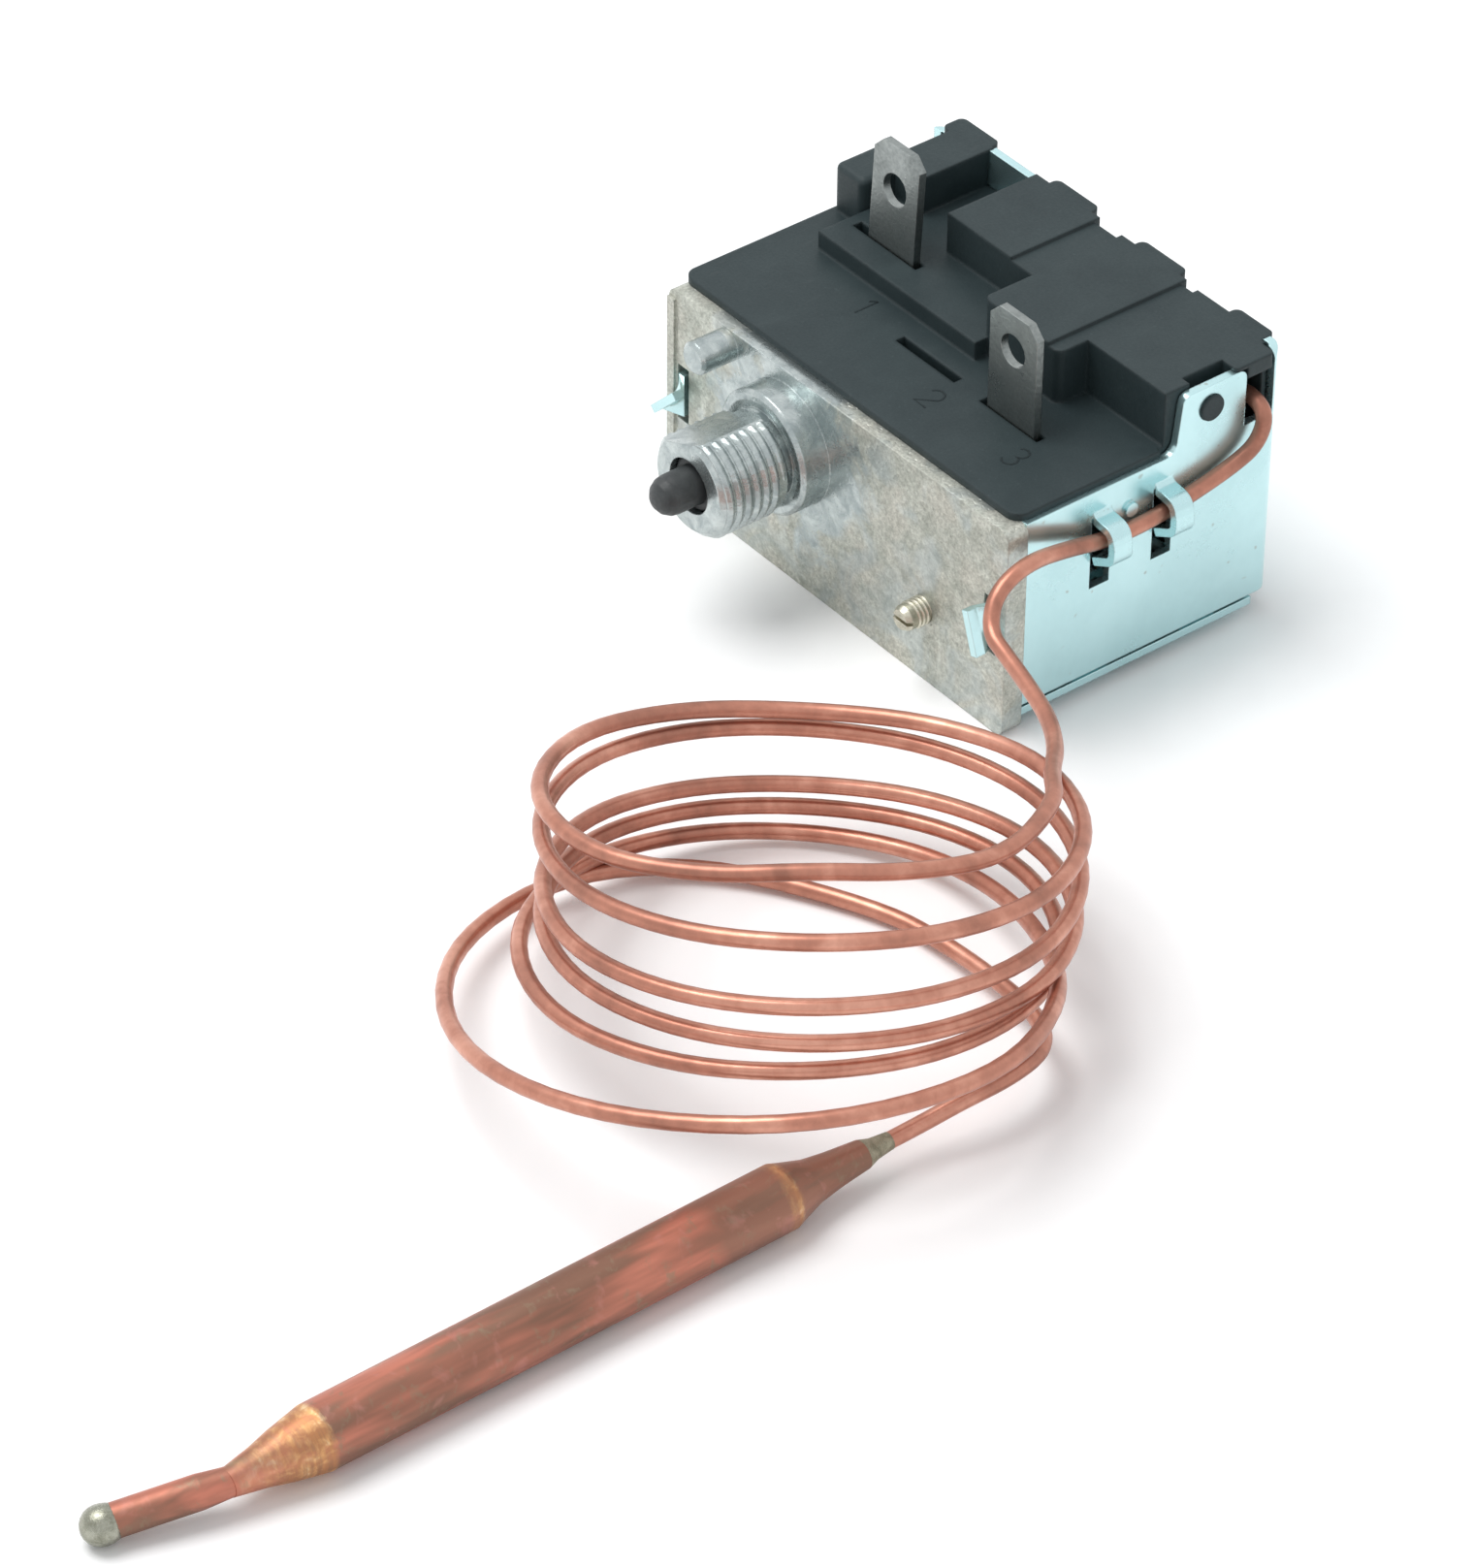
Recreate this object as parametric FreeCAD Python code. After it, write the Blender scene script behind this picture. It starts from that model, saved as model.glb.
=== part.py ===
import FreeCAD
import Part
import math
import os

# Safety limiter for a water heater, with a remote copper bulb.
# Millimetres, +Z up, -Y the front with the threaded bush and the reset button, +X the side
# that holds the copper capillary.
# The pieces are drawn from the front plate's lower left front corner, and moved on export so
# that the origin is the middle of the body's box on the surface that it stands on.
# A size that ends in _from_right or _from_back is a distance from the front plate's right end
# or from the back of the frame. One that ends in _rise or _drop is a height over or under the
# frame's top edge, or over the cover's deck where it belongs to the cover.

# Front plate, a zinc die casting
plate_width = 47.5
plate_height = 22.0
plate_thick = 2.2
plate_corner = 1.0
plate_rim_width = 1.0
plate_rim_height = 0.25

# Threaded bush of the front plate
bush_x = 17.15
bush_z = 14.6
bush_length = 11.1
bush_chamfer = 0.55
thread_radius = 5.0
thread_relief = 0.7
relief_length = 0.9
relief_undercut = 0.3
collar_radius = 6.05
collar_length = 3.0
collar_chamfer = 0.35
collar_face_gap = 0.1
flat_distance = 4.05
flat_angle = 22.0
button_bore = 2.72
retainer_pocket_radius = 3.6

# Locating peg of the front plate
peg_x = 8.4
peg_z = 20.2
peg_radius = 1.6
peg_length = 3.9
peg_chamfer = 0.3

# Slots of the front plate, for the twisted tabs of the frame
slot_inset = 2.1
slot_width = 1.6
slot_bottom = 8.3
slot_height = 5.9

# Sheet frame round the sides and the back
sheet = 0.8
frame_inset = 0.25
frame_bottom = 2.4
frame_depth = 31.2
bend_radius = 0.7
tight_bend = 0.2
back_rise = 6.3
back_shelf_rise = 5.0
back_corner = 1.4
corner_strip_width = 1.0
notch_drop = 0.3

# Ear of the frame that holds the cover by its peg
ear_from_back = 4.3
ear_width = 7.9
ear_rise = 5.75
ear_lean = 0.7
ear_corner = 0.9
ear_root = 1.3
ear_hole_from_edge = 4.0
ear_hole_rise = 3.4
ear_hole_radius = 1.3

# Lanced clips round the capillary
clip_fronts = (9.75, 16.8)
clip_width = 2.05
clip_root_drop = 2.7
clip_foot_drop = 7.6
clip_window_drop = 10.3
clip_bend_drop = 0.16
clip_shoulder_drop = 0.48
clip_bulge_drop = 1.76
clip_bulge_rise = 1.65
clip_reach = 3.0
clip_bend = 0.6
clip_gap = 0.1
nub_y = 14.0
nub_drop = 3.5
nub_radius = 0.7
nub_height = 0.35

# Twisted tabs of the frame
twist_tab_height = 4.4
twist_tab_reach = 2.3
twist_start = 0.2
twist_length = 1.1
left_twist = 45.0
right_twist = 19.0
flange_gap = 0.05

# Base strip
base_bottom = 1.3
base_from_back = 2.2
base_lug_top = 5.6
base_lug_front = 9.0
base_lug_from_back = 9.7
base_lug_width = 4.0
ear_clearance = 0.1

# Cover, a dark moulding
deck_rise = 0.7
deck_front = 1.45
deck_from_right = 0.8
deck_corner = 1.4
deck_thick = 1.5
cover_wall = 1.25
cover_from_back = 0.3
cover_gap = 0.1
cover_overlap = 0.2
skirt_depth = 3.7
skirt_corner = 0.6
plateau_left = 4.3
plateau_overlap = 0.7
plateau_before_tab = 3.45
plateau_rise = 1.85
tower_right = 4.1
tower_from_back = 12.4
tower_length = 5.6
tower_rise = 4.9
tower_corner = 0.7
tower_top_corner = 0.63
corner_block_left = 3.3
corner_block_right = 7.9
corner_block_from_back = 8.7
corner_block_rise = 5.7
block_1_left = 13.9
block_1_from_back = 10.6
block_1_rise = 6.05
block_1_step_width = 3.0
block_1_step = 0.3
block_2_from_right = 21.8
block_2_from_back = 16.2
block_2_rise = 5.8
block_3_from_right = 13.0
block_3_from_back = 12.9
block_3_rise = 5.5
block_step_length = 1.5
block_corner = 0.8
wall_step_from_back = 10.2
wall_step_depth = 1.0
wing_from_back = 5.6
wing_length = 4.4
wing_from_right = 0.2
wing_thick = 1.5
wing_corner = 0.5
blade_slot_width = 1.0
cover_peg_radius = 1.25
cover_peg_reach = 0.25
snap_lug_from_back = 11.2
snap_lug_width = 3.6
snap_lug_drop = 2.6
snap_lug_height = 1.0
snap_clearance = 0.15

# Lips at the cover's back: where each starts and ends, from the left side of its block
lip_reach = 1.0
lip_corner = 0.7
lip_1 = (-2.0, 3.4)
lip_2 = (1.8, 7.7)
lip_3 = (1.8, 7.9)
lip_4 = (5.7, 10.7)

# Terminal tabs and their slots in the cover
tab_width = 6.3
tab_thick = 0.8
tab_corner = 1.2
tab_hole_radius = 1.6
tab_shoulder = 0.75
tab_fold_rise = 4.0
tab_3_from_right = 12.0
tab_3_from_back = 20.7
tab_3_height = 11.25
tab_3_hole_drop = 3.69
tab_1_x = 10.72
tab_1_from_back = 14.15
tab_1_height = 12.6
tab_1_hole_drop = 4.4
tab_1_lean = 3.0
slot_1_before = 5.22
slot_1_after = 3.68
slot_2_from_right = 27.7
slot_2_length = 8.1
slot_3_before = 4.1
slot_3_after = 3.7

# Rivet that holds terminal 3 to the cover
rivet_right = 1.0
rivet_behind = 4.2
rivet_radius = 0.8
rivet_head_radius = 1.5
rivet_head_thick = 0.5
rivet_hold = 3.4
rivet_post_half = 2.0

# Reset button and its spring
button_travel = 2.0
button_tip = 3.9
button_nose_radius = 1.9
nose_angles = (80, 62, 40, 18, 0)
button_recess = 0.6
button_edge = 0.2
button_radius = 2.65
button_body_length = 5.5
button_stem_radius = 1.2
button_stem_end = 13.0
retainer_thick = 0.8
clip_ring_radius = 2.3
clip_ring_thick = 0.6
groove_depth = 0.3
fit = 0.05

# Round ends of the turned rods: depths and radii as shares of the rod's radius
crown_rings = ((0.0, 0.12), (0.083, 0.4), (0.286, 0.7), (0.608, 0.92), (1.0, 1.0))

# Trip lever, turning on a pin across the base
pivot_y = 16.0
pivot_z = 5.0
pivot_radius = 1.0
pivot_overhang = 0.5
lever_sheet = 1.0
lever_eye = 2.2
lever_tongue_left = 4.15
lever_tongue_right = 3.85
lever_tongue_above = 2.0
lever_pad_left = 4.2
lever_pad_right = 4.0
lever_pad_above = 1.5
lever_web_bottom = 1.0
lever_web_top = 5.5
lever_slope = 1.4
lever_cheek_low = 242.0
lever_cheek_high = 30.0
lever_notch_beside = 0.3
lever_notch_above = 0.6
lever_foot_rise = 3.0
lever_foot_half = 3.5
lever_foot_overhang = 2.4

# Push rod between the lever's foot and the contact arm, and its guide in the cover
rod_before_contact = 7.2
rod_from_back = 9.2
rod_radius = 1.3
guide_bottom = 11.5
guide_thick = 2.0
guide_half_width = 2.6
guide_front = 2.1
guide_rib_gap = 0.3
guide_rib_thick = 1.2

# Contact arm, turning on a pin in terminal 1
arm_hinge_x = 11.0
arm_hinge_drop = 4.4
arm_pin_radius = 0.6
arm_pin_overhang = 0.3
arm_eye_radius = 1.2
arm_eye_gap = 0.3
arm_thick = 0.5
arm_half_width = 1.9
arm_corner = 0.6
arm_overhang = 2.0
contact_from_tab = 1.3
contact_radius = 1.6
contact_thick = 0.6
contact_edge = 0.12
contact_gap = 1.6
yoke_below = 1.7
yoke_above = 2.1
yoke_left = 6.0
yoke_right = 2.4
yoke_behind = 3.0
yoke_pocket_front = 2.5
yoke_pocket_back = 0.5
yoke_pocket_wall = 1.4

# Capsule that the bulb's liquid swells
capsule_from_right = 11.5
capsule_z = 10.6
capsule_radius = 8.0
capsule_dome_radius = 7.0
capsule_crown_radius = 5.5
capsule_from_back = 4.3
capsule_thick = 2.0
capsule_rim = 0.6
capsule_boss_radius = 3.0
capsule_spigot_radius = 2.0
peened_radius = 2.7
peened_height = 0.5
cup_radius = 2.6
cup_length = 2.5
cup_floor = 0.15
thrust_pin_radius = 1.5
thrust_pin_depth = 0.6
stub_angle = 60.0
stub_radius = 1.25
stub_start = 7.6
stub_end = 9.4

# Calibration screw and range spring
screw_beside_capsule = 0.4
screw_z = 7.5
screw_radius = 1.25
screw_tip_radius = 0.95
screw_tip_length = 0.5
screw_reach = 2.6
screw_back = 9.5
screw_slot_width = 0.4
screw_slot_depth = 0.6
nut_across = 4.2
nut_front = 6.8
nut_thick = 1.6

# Springs
runs_per_turn = 9
wire_sides = 5
reset_coil_radius = 1.95
reset_wire = 0.25
reset_turns = 4
range_coil_radius = 1.65
range_wire = 0.22
range_turns = 4
contact_coil_radius = 1.4
contact_wire = 0.18
contact_turns = 4
contact_spring_before_rod = 7.0
contact_spring_length = 4.35
contact_stop_half = 1.8
contact_stop_behind = 2.1

# Copper capillary
capillary_radius = 0.75
capillary_clearance = 0.1
tube_sides = 8

# Route of the capillary from the capsule to the coil, chosen by hand
lead_route = (
    (42.50, 27.9, 21.86),
    (45.30, 28.2, 24.2),
    (48.70, 28.2, 23.5),
    (48.50, 27.5, 20.2),
    (48.15, 24.7, 18.7),
    (48.15, 20.3, 17.8),
    (48.15, 15.4, 17.0),
    (48.15, 10.9, 17.1),
    (48.75, 5.5, 18.8),
    (49.60, 0.3, 20.2),
    (50.10, -3.6, 19.0),
    (51.60, -5.4, 16.6),
    (54.70, -6.0, 16.2),
    (59.30, -7.3, 16.2),
    (63.90, -9.0, 16.5),
    (68.00, -11.7, 17.1),
    (71.80, -15.6, 18.9),
)

# Coil: the heading of its right side, its middle along and across that heading, and for each
# turn the radius and height at the right, front, left and back
coil_turn_angle = 51.58
coil_right = 12.5
coil_toward = 71.5
coil_sections = 24
coil_turns = (
    ((20.2, 20.3), (14.6, 24.6), (23.2, 20.6), (21.4, 13.0)),
    ((23.3, 17.8), (22.0, 23.0), (22.9, 17.6), (21.5, 11.2)),
    ((23.2, 13.2), (22.7, 16.8), (22.8, 11.8), (21.1, 5.4)),
    ((22.9, 9.0), (22.6, 12.9), (22.9, 8.8), (21.0, 3.1)),
    ((21.6, 6.4), (22.8, 10.2), (25.0, 5.4), (19.9, 1.1)),
    ((19.6, 6.0), (34.9, 14.9), (30.6, 3.6), (12.4, 0.85)),
)

# Route of the capillary from the coil to the bulb, chosen by hand
tail_route = (
    (60.2, -23.7, 0.9),
    (67.9, -22.6, 1.3),
    (75.8, -22.8, 2.0),
    (81.4, -23.9, 2.8),
    (85.0, -26.6, 3.5),
    (86.3, -31.4, 4.0),
    (86.1, -36.4, 3.9),
    (85.4, -40.3, 2.9),
)

# Bulb, lying along Y on the surface, with its tapers as distances and radii from their ends
bulb_x = 85.4
bulb_start = -46.2
bulb_radius = 2.9
bulb_barrel = 45.8
bulb_neck_radius = 1.3
bulb_neck = ((0.0, 1.3), (3.2, 1.62), (5.4, 1.95), (7.2, 2.5))
bulb_neck_length = 8.4
bulb_end = ((3.3, 2.25), (5.3, 1.75))
bulb_end_length = 8.2
pinch_radius = 1.22
tail_radius = 1.45
tail_swell = 2.7
tail_length = 9.5
tail_drop = 1.0
tail_shift = 2.9
tail_overlap = 0.5
seal_radius = 1.5
seal_length = 1.17
braze_length = 2.8
braze_waist = 1.1
braze_waist_radius = 0.95
braze_lip = 0.03

# Values worked out from the ones above
frame_left = frame_inset
frame_right = plate_width - frame_inset
inner_left = frame_left + sheet
inner_right = frame_right - sheet
inner_back = frame_depth - sheet
frame_top = plate_height
back_top = frame_top + back_rise
back_shelf = frame_top + back_shelf_rise
corner_strip_front = frame_depth - corner_strip_width
notch_floor = frame_top - notch_drop
base_top = base_bottom + sheet
ear_back = frame_depth - ear_from_back
ear_front = ear_back - ear_width
ear_top = frame_top + ear_rise
ear_hole_y = ear_back - ear_hole_from_edge
ear_hole_z = frame_top + ear_hole_rise
clip_root = frame_top - clip_root_drop
clip_foot = frame_top - clip_foot_drop
clip_window_bottom = frame_top - clip_window_drop

deck_top = frame_top + deck_rise
deck_underside = deck_top - deck_thick
deck_right = plate_width - deck_from_right
skirt_bottom = deck_top - skirt_depth
plateau_top = deck_top + plateau_rise
plateau_underside = plateau_top - cover_wall
tower_front = frame_depth - tower_from_back
tower_top = deck_top + tower_rise
corner_block_front = frame_depth - corner_block_from_back
corner_block_top = deck_top + corner_block_rise
block_2_left = plate_width - block_2_from_right
block_3_left = plate_width - block_3_from_right
block_1_right = block_2_left
block_1_front = frame_depth - block_1_from_back
block_2_front = frame_depth - block_2_from_back
block_3_front = frame_depth - block_3_from_back
block_1_top = deck_top + block_1_rise
block_2_top = deck_top + block_2_rise
block_3_top = deck_top + block_3_rise
plateau_right = block_2_left + plateau_overlap
wing_front = frame_depth - wing_from_back
wing_back = wing_front + wing_length
wing_right = plate_width - wing_from_right
cover_back = frame_depth - cover_from_back
snap_lug_front = frame_depth - snap_lug_from_back
snap_lug_z = frame_top - snap_lug_drop

tab_3_x = plate_width - tab_3_from_right
tab_3_y = frame_depth - tab_3_from_back
tab_3_top = deck_top + tab_3_height
tab_1_y = frame_depth - tab_1_from_back
tab_1_top = deck_top + tab_1_height
plateau_front = tab_1_y - plateau_before_tab
rivet_x = tab_3_x + rivet_right
rivet_y = tab_3_y + rivet_behind

contact_x = tab_3_x - contact_from_tab
rod_x = contact_x - rod_before_contact
rod_y = frame_depth - rod_from_back
contact_spring_x = rod_x - contact_spring_before_rod
arm_hinge_z = frame_top - arm_hinge_drop
arm_end = contact_x + arm_overhang
arm_underside = arm_hinge_z - arm_thick / 2
arm_topside = arm_underside + arm_thick
contact_spring_top = arm_topside + contact_spring_length
moving_face = arm_underside - contact_thick
fixed_face = moving_face - contact_gap
foot_top = fixed_face - contact_thick
yoke_bottom = arm_hinge_z - yoke_below
yoke_top = arm_hinge_z + yoke_above
yoke_start = arm_hinge_x - yoke_left
yoke_end = arm_hinge_x + yoke_right
yoke_back = rod_y + yoke_behind

button_front = -bush_length - button_tip
button_body_front = -bush_length + button_recess
button_body_back = button_body_front + button_body_length
capsule_x = plate_width - capsule_from_right
capsule_front = frame_depth - capsule_from_back
capsule_back = capsule_front + capsule_thick
capsule_middle = (capsule_front + capsule_back) / 2
cup_front = capsule_front - cup_length
thrust_pin_back = cup_front + thrust_pin_depth
screw_x = capsule_x + screw_beside_capsule

lever_front = button_stem_end + fit
lever_back = lever_front + lever_sheet
lever_left = bush_x - lever_tongue_left
lever_right = capsule_x + lever_pad_right
lever_bottom = pivot_z + lever_web_bottom
lever_foot_top = pivot_z + lever_foot_rise
lever_foot_left = rod_x - lever_foot_half
lever_foot_right = rod_x + lever_foot_half
lever_foot_back = rod_y + lever_foot_overhang

bulb_shoulder = bulb_start - bulb_neck_length
bulb_end_shoulder = bulb_shoulder - bulb_barrel
bulb_pinch = bulb_end_shoulder - bulb_end_length
braze_end = bulb_start + braze_length

lip_spans = (
    (plateau_left + lip_1[0], plateau_left + lip_1[1]),
    (block_1_left + lip_2[0], block_1_left + lip_2[1]),
    (block_2_left + lip_3[0], block_2_left + lip_3[1]),
    (block_3_left + lip_4[0], block_3_left + lip_4[1]),
)
body_right = frame_right + clip_reach
body_back = cover_back + lip_reach
origin = FreeCAD.Vector(body_right / 2, (button_front + body_back) / 2, 0)

X = FreeCAD.Vector(1, 0, 0)
Y = FreeCAD.Vector(0, 1, 0)
Z = FreeCAD.Vector(0, 0, 1)


def point(x, y, z):
    return FreeCAD.Vector(x, y, z)


def box(left, right, front, back, bottom, top):
    return Part.makeBox(right - left, back - front, top - bottom, point(left, front, bottom))


def rod(start, axis, radius, length):
    return Part.makeCylinder(radius, length, start, axis)


def joined(shapes):
    return shapes[0].multiFuse(shapes[1:]).removeSplitter()


def plate_from(corners, travel):
    """A flat outline of straight edges, thickened along travel."""
    return Part.Face(Part.makePolygon(list(corners) + [corners[0]])).extrude(travel)


def rounded_box(left, right, front, back, bottom, top, radius):
    """A box with its four upright edges rounded."""
    solid = box(left, right, front, back, bottom, top)
    upright = [edge for edge in solid.Edges if edge.Vertexes[0].Z != edge.Vertexes[1].Z]
    return solid.makeFillet(radius, upright)


def tangent_arcs(corners, radii):
    """The bends of a route: where each arc starts, its middle, its end and its centre."""
    bends = []
    for before, corner, after, radius in zip(corners, corners[1:], corners[2:], radii):
        along = (corner - before).normalize()
        onward = (after - corner).normalize()
        turn = along.getAngle(onward)
        reach = radius * math.tan(turn / 2)
        start = corner - along * reach
        end = corner + onward * reach
        inward = (onward - along).normalize()
        centre = corner + inward * (radius / math.cos(turn / 2))
        bends.append((start, centre - inward * radius, end, centre))
    return bends


def route_wire(corners, radii):
    """Straight runs joined by tangent arcs."""
    edges = []
    last = corners[0]
    for start, middle, end, centre in tangent_arcs(corners, radii):
        edges.append(Part.LineSegment(last, start).toShape())
        edges.append(Part.Arc(start, middle, end).toShape())
        last = end
    edges.append(Part.LineSegment(last, corners[-1]).toShape())
    return Part.Wire(edges)


def bent_sheet(corners, inner_radius, thick, travel):
    """A sheet bent along a middle line of straight runs, as wide as travel."""
    radii = [inner_radius + thick / 2] * (len(corners) - 2)
    bends = tangent_arcs(corners, radii)
    normal = FreeCAD.Vector(travel).normalize()
    sides = []
    for offset in (thick / 2, -thick / 2):
        first = normal.cross((corners[1] - corners[0]).normalize()) * offset
        final = normal.cross((corners[-1] - corners[-2]).normalize()) * offset
        edges = []
        last = corners[0] + first
        for start, middle, end, centre in bends:
            moved = []
            for place in (start, middle, end):
                outward = (place - centre).normalize()
                side = 1 if outward.dot(normal.cross(end - start)) > 0 else -1
                moved.append(place + outward * side * offset)
            edges.append(Part.LineSegment(last, moved[0]).toShape())
            edges.append(Part.Arc(*moved).toShape())
            last = moved[2]
        finish = corners[-1] + final
        edges.append(Part.LineSegment(last, finish).toShape())
        sides.append((corners[0] + first, edges, finish))
    (near_start, near, near_end), (far_start, far, far_end) = sides
    closing = [
        Part.LineSegment(near_end, far_end).toShape(),
        Part.LineSegment(near_start, far_start).toShape(),
    ]
    outline = Part.Wire(Part.__sortEdges__(near + far + closing))
    return Part.Face(outline).extrude(travel)


def turned(profile, start, axis):
    """A solid of revolution: profile holds (distance along the axis, radius) pairs."""
    places = [point(radius, 0, along) for along, radius in profile]
    places = [point(0, 0, profile[0][0])] + places + [point(0, 0, profile[-1][0])]
    solid = Part.Face(Part.makePolygon(places + [places[0]])).revolve(point(0, 0, 0), Z, 360)
    solid.Placement = FreeCAD.Placement(start, FreeCAD.Rotation(Z, axis))
    return solid


def crown(tip, inward, radius):
    """The rings of a round end: from its tip, by a quarter of a circle, to the full radius."""
    return [(tip + inward * depth * radius, share * radius) for depth, share in crown_rings]


def coil_spring(start, axis, coil_radius, wire_radius, length, turns):
    """A compression spring between its two seats: short straight runs round each turn."""
    pitch = (length - 2 * wire_radius) / turns
    places = []
    for step in range(turns * runs_per_turn + 1):
        angle = 2 * math.pi * step / runs_per_turn
        height = wire_radius + pitch * step / runs_per_turn
        places.append(point(coil_radius * math.cos(angle), coil_radius * math.sin(angle), height))
    path = Part.makePolygon(places)
    across = Part.makeCircle(wire_radius, places[0], places[1] - places[0]).discretize(wire_sides + 1)
    section = Part.makePolygon(across[:-1] + [across[0]])
    solid = path.makePipeShell([section], True, True, 1)
    solid.Placement = FreeCAD.Placement(start, FreeCAD.Rotation(Z, axis))
    return solid


def bush_outline():
    """Half profile of the bush, outwards from the plate's front face, undercut at the collar."""
    relief_end = collar_length + relief_length
    core = thread_radius - thread_relief
    return (
        (-plate_thick / 2, collar_radius),
        (collar_length - collar_chamfer, collar_radius),
        (collar_length, collar_radius - collar_chamfer),
        (collar_length, thread_radius + collar_face_gap),
        (collar_length - relief_undercut, core),
        (relief_end, core),
        (relief_end, thread_radius),
        (bush_length - bush_chamfer, thread_radius),
        (bush_length, thread_radius - bush_chamfer),
    )


def front_plate():
    corners = box(0, plate_width, 0, plate_thick, 0, plate_height)
    sharp = [edge for edge in corners.Edges if edge.Vertexes[0].Y != edge.Vertexes[1].Y]
    plate = corners.makeFillet(plate_corner, sharp)
    rim = box(0, plate_rim_width, -plate_rim_height, 0, plate_corner, plate_height - plate_corner)
    bush = turned(bush_outline(), point(bush_x, 0, bush_z), -Y)
    reach = 2 * thread_radius
    flat_block = box(-reach, reach, -bush_length - 1, -collar_length, flat_distance, reach)
    flat_block.rotate(point(0, 0, 0), Y, -flat_angle)
    flat_block.translate(point(bush_x, 0, bush_z))
    bush = bush.cut(flat_block)
    peg_outline = (
        (-plate_thick / 2, peg_radius),
        (peg_length - peg_chamfer, peg_radius),
        (peg_length, peg_radius - peg_chamfer),
    )
    peg = turned(peg_outline, point(peg_x, 0, peg_z), -Y)
    plate = joined([plate, rim, bush, peg])
    bore = rod(point(bush_x, -bush_length - 1, bush_z), Y, button_bore, bush_length + plate_thick + 2)
    pocket_front = plate_thick - retainer_thick
    pocket = rod(point(bush_x, pocket_front, bush_z), Y, retainer_pocket_radius, retainer_thick + 1)
    screw_hole = rod(point(screw_x, -1, screw_z), Y, screw_radius + fit / 2, plate_thick + 2)
    openings = [bore, pocket, screw_hole]
    for middle in (slot_inset, plate_width - slot_inset):
        left = middle - slot_width / 2
        right = left + slot_width
        openings.append(box(left, right, -1, plate_thick + 1, slot_bottom, slot_bottom + slot_height))
    return plate.cut(openings)


def twist_tab(middle, angle):
    """The end of a frame tab in front of the plate, turned to lock it."""
    centre = slot_bottom + slot_height / 2
    half = twist_tab_height / 2
    near = point(middle, -twist_start, centre)
    far = point(middle, -twist_start - twist_length, centre)
    turn = FreeCAD.Rotation(Y, angle)
    side = sheet / 2
    flat = [point(x, 0, z) for x, z in ((-side, -half), (side, -half), (side, half), (-side, half))]
    straight = [near + corner for corner in flat]
    twisted = [far + turn.multVec(corner) for corner in flat]
    rings = [Part.makePolygon(ring + [ring[0]]) for ring in (straight, twisted)]
    twist = Part.makeLoft(rings, True, True)
    end = plate_from(twisted, point(0, -(twist_tab_reach - twist_start - twist_length), 0))
    return twist.fuse(end)


def frame_tab(wall_middle, slot_middle, angle):
    """A tab of a side panel: bent in behind the plate, out through its slot and twisted."""
    behind = plate_thick + flange_gap + sheet / 2
    corners = [
        point(slot_middle, -twist_start, 0),
        point(slot_middle, behind, 0),
        point(wall_middle, behind, 0),
        point(wall_middle, behind + 2 * sheet, 0),
    ]
    height = twist_tab_height
    tongue = bent_sheet(corners, tight_bend, sheet, Z * height)
    tongue.translate(Z * (slot_bottom + slot_height / 2 - height / 2))
    return tongue.fuse(twist_tab(slot_middle, angle))


def clip(front):
    """One lanced strap that bulges round the capillary and hooks back into its window."""
    wall = frame_right - sheet / 2
    reach = frame_right + clip_reach - sheet / 2
    corners = [
        point(wall, front, clip_root + sheet),
        point(wall, front, clip_root - clip_bend_drop),
        point(reach - sheet / 2, front, clip_root - clip_shoulder_drop),
        point(reach, front, clip_root - clip_bulge_drop),
        point(reach, front, clip_foot + clip_bulge_rise),
        point(frame_right + sheet / 4, front, clip_foot + sheet / 2),
    ]
    return bent_sheet(corners, clip_bend, sheet, Y * clip_width)


def ear():
    """The upright ear for the cover's peg: a leaning front edge, round corners, curved root."""
    start = ear_front - 2 * ear_root
    foot = frame_top - sheet
    outline = (
        point(inner_right, start, foot),
        point(inner_right, start, frame_top),
        point(inner_right, ear_front, frame_top),
        point(inner_right, ear_front + ear_lean, ear_top),
        point(inner_right, ear_back, ear_top),
        point(inner_right, ear_back, foot),
    )
    solid = plate_from(outline, X * sheet)
    for corner, radius in ((outline[3], ear_corner), (outline[4], ear_corner), (outline[2], ear_root)):
        through = Part.LineSegment(corner, corner + X * sheet).toShape().CenterOfMass
        sharp = [edge for edge in solid.Edges if edge.CenterOfMass.isEqual(through, fit)]
        solid = solid.makeFillet(radius, sharp)
    return solid


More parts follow.
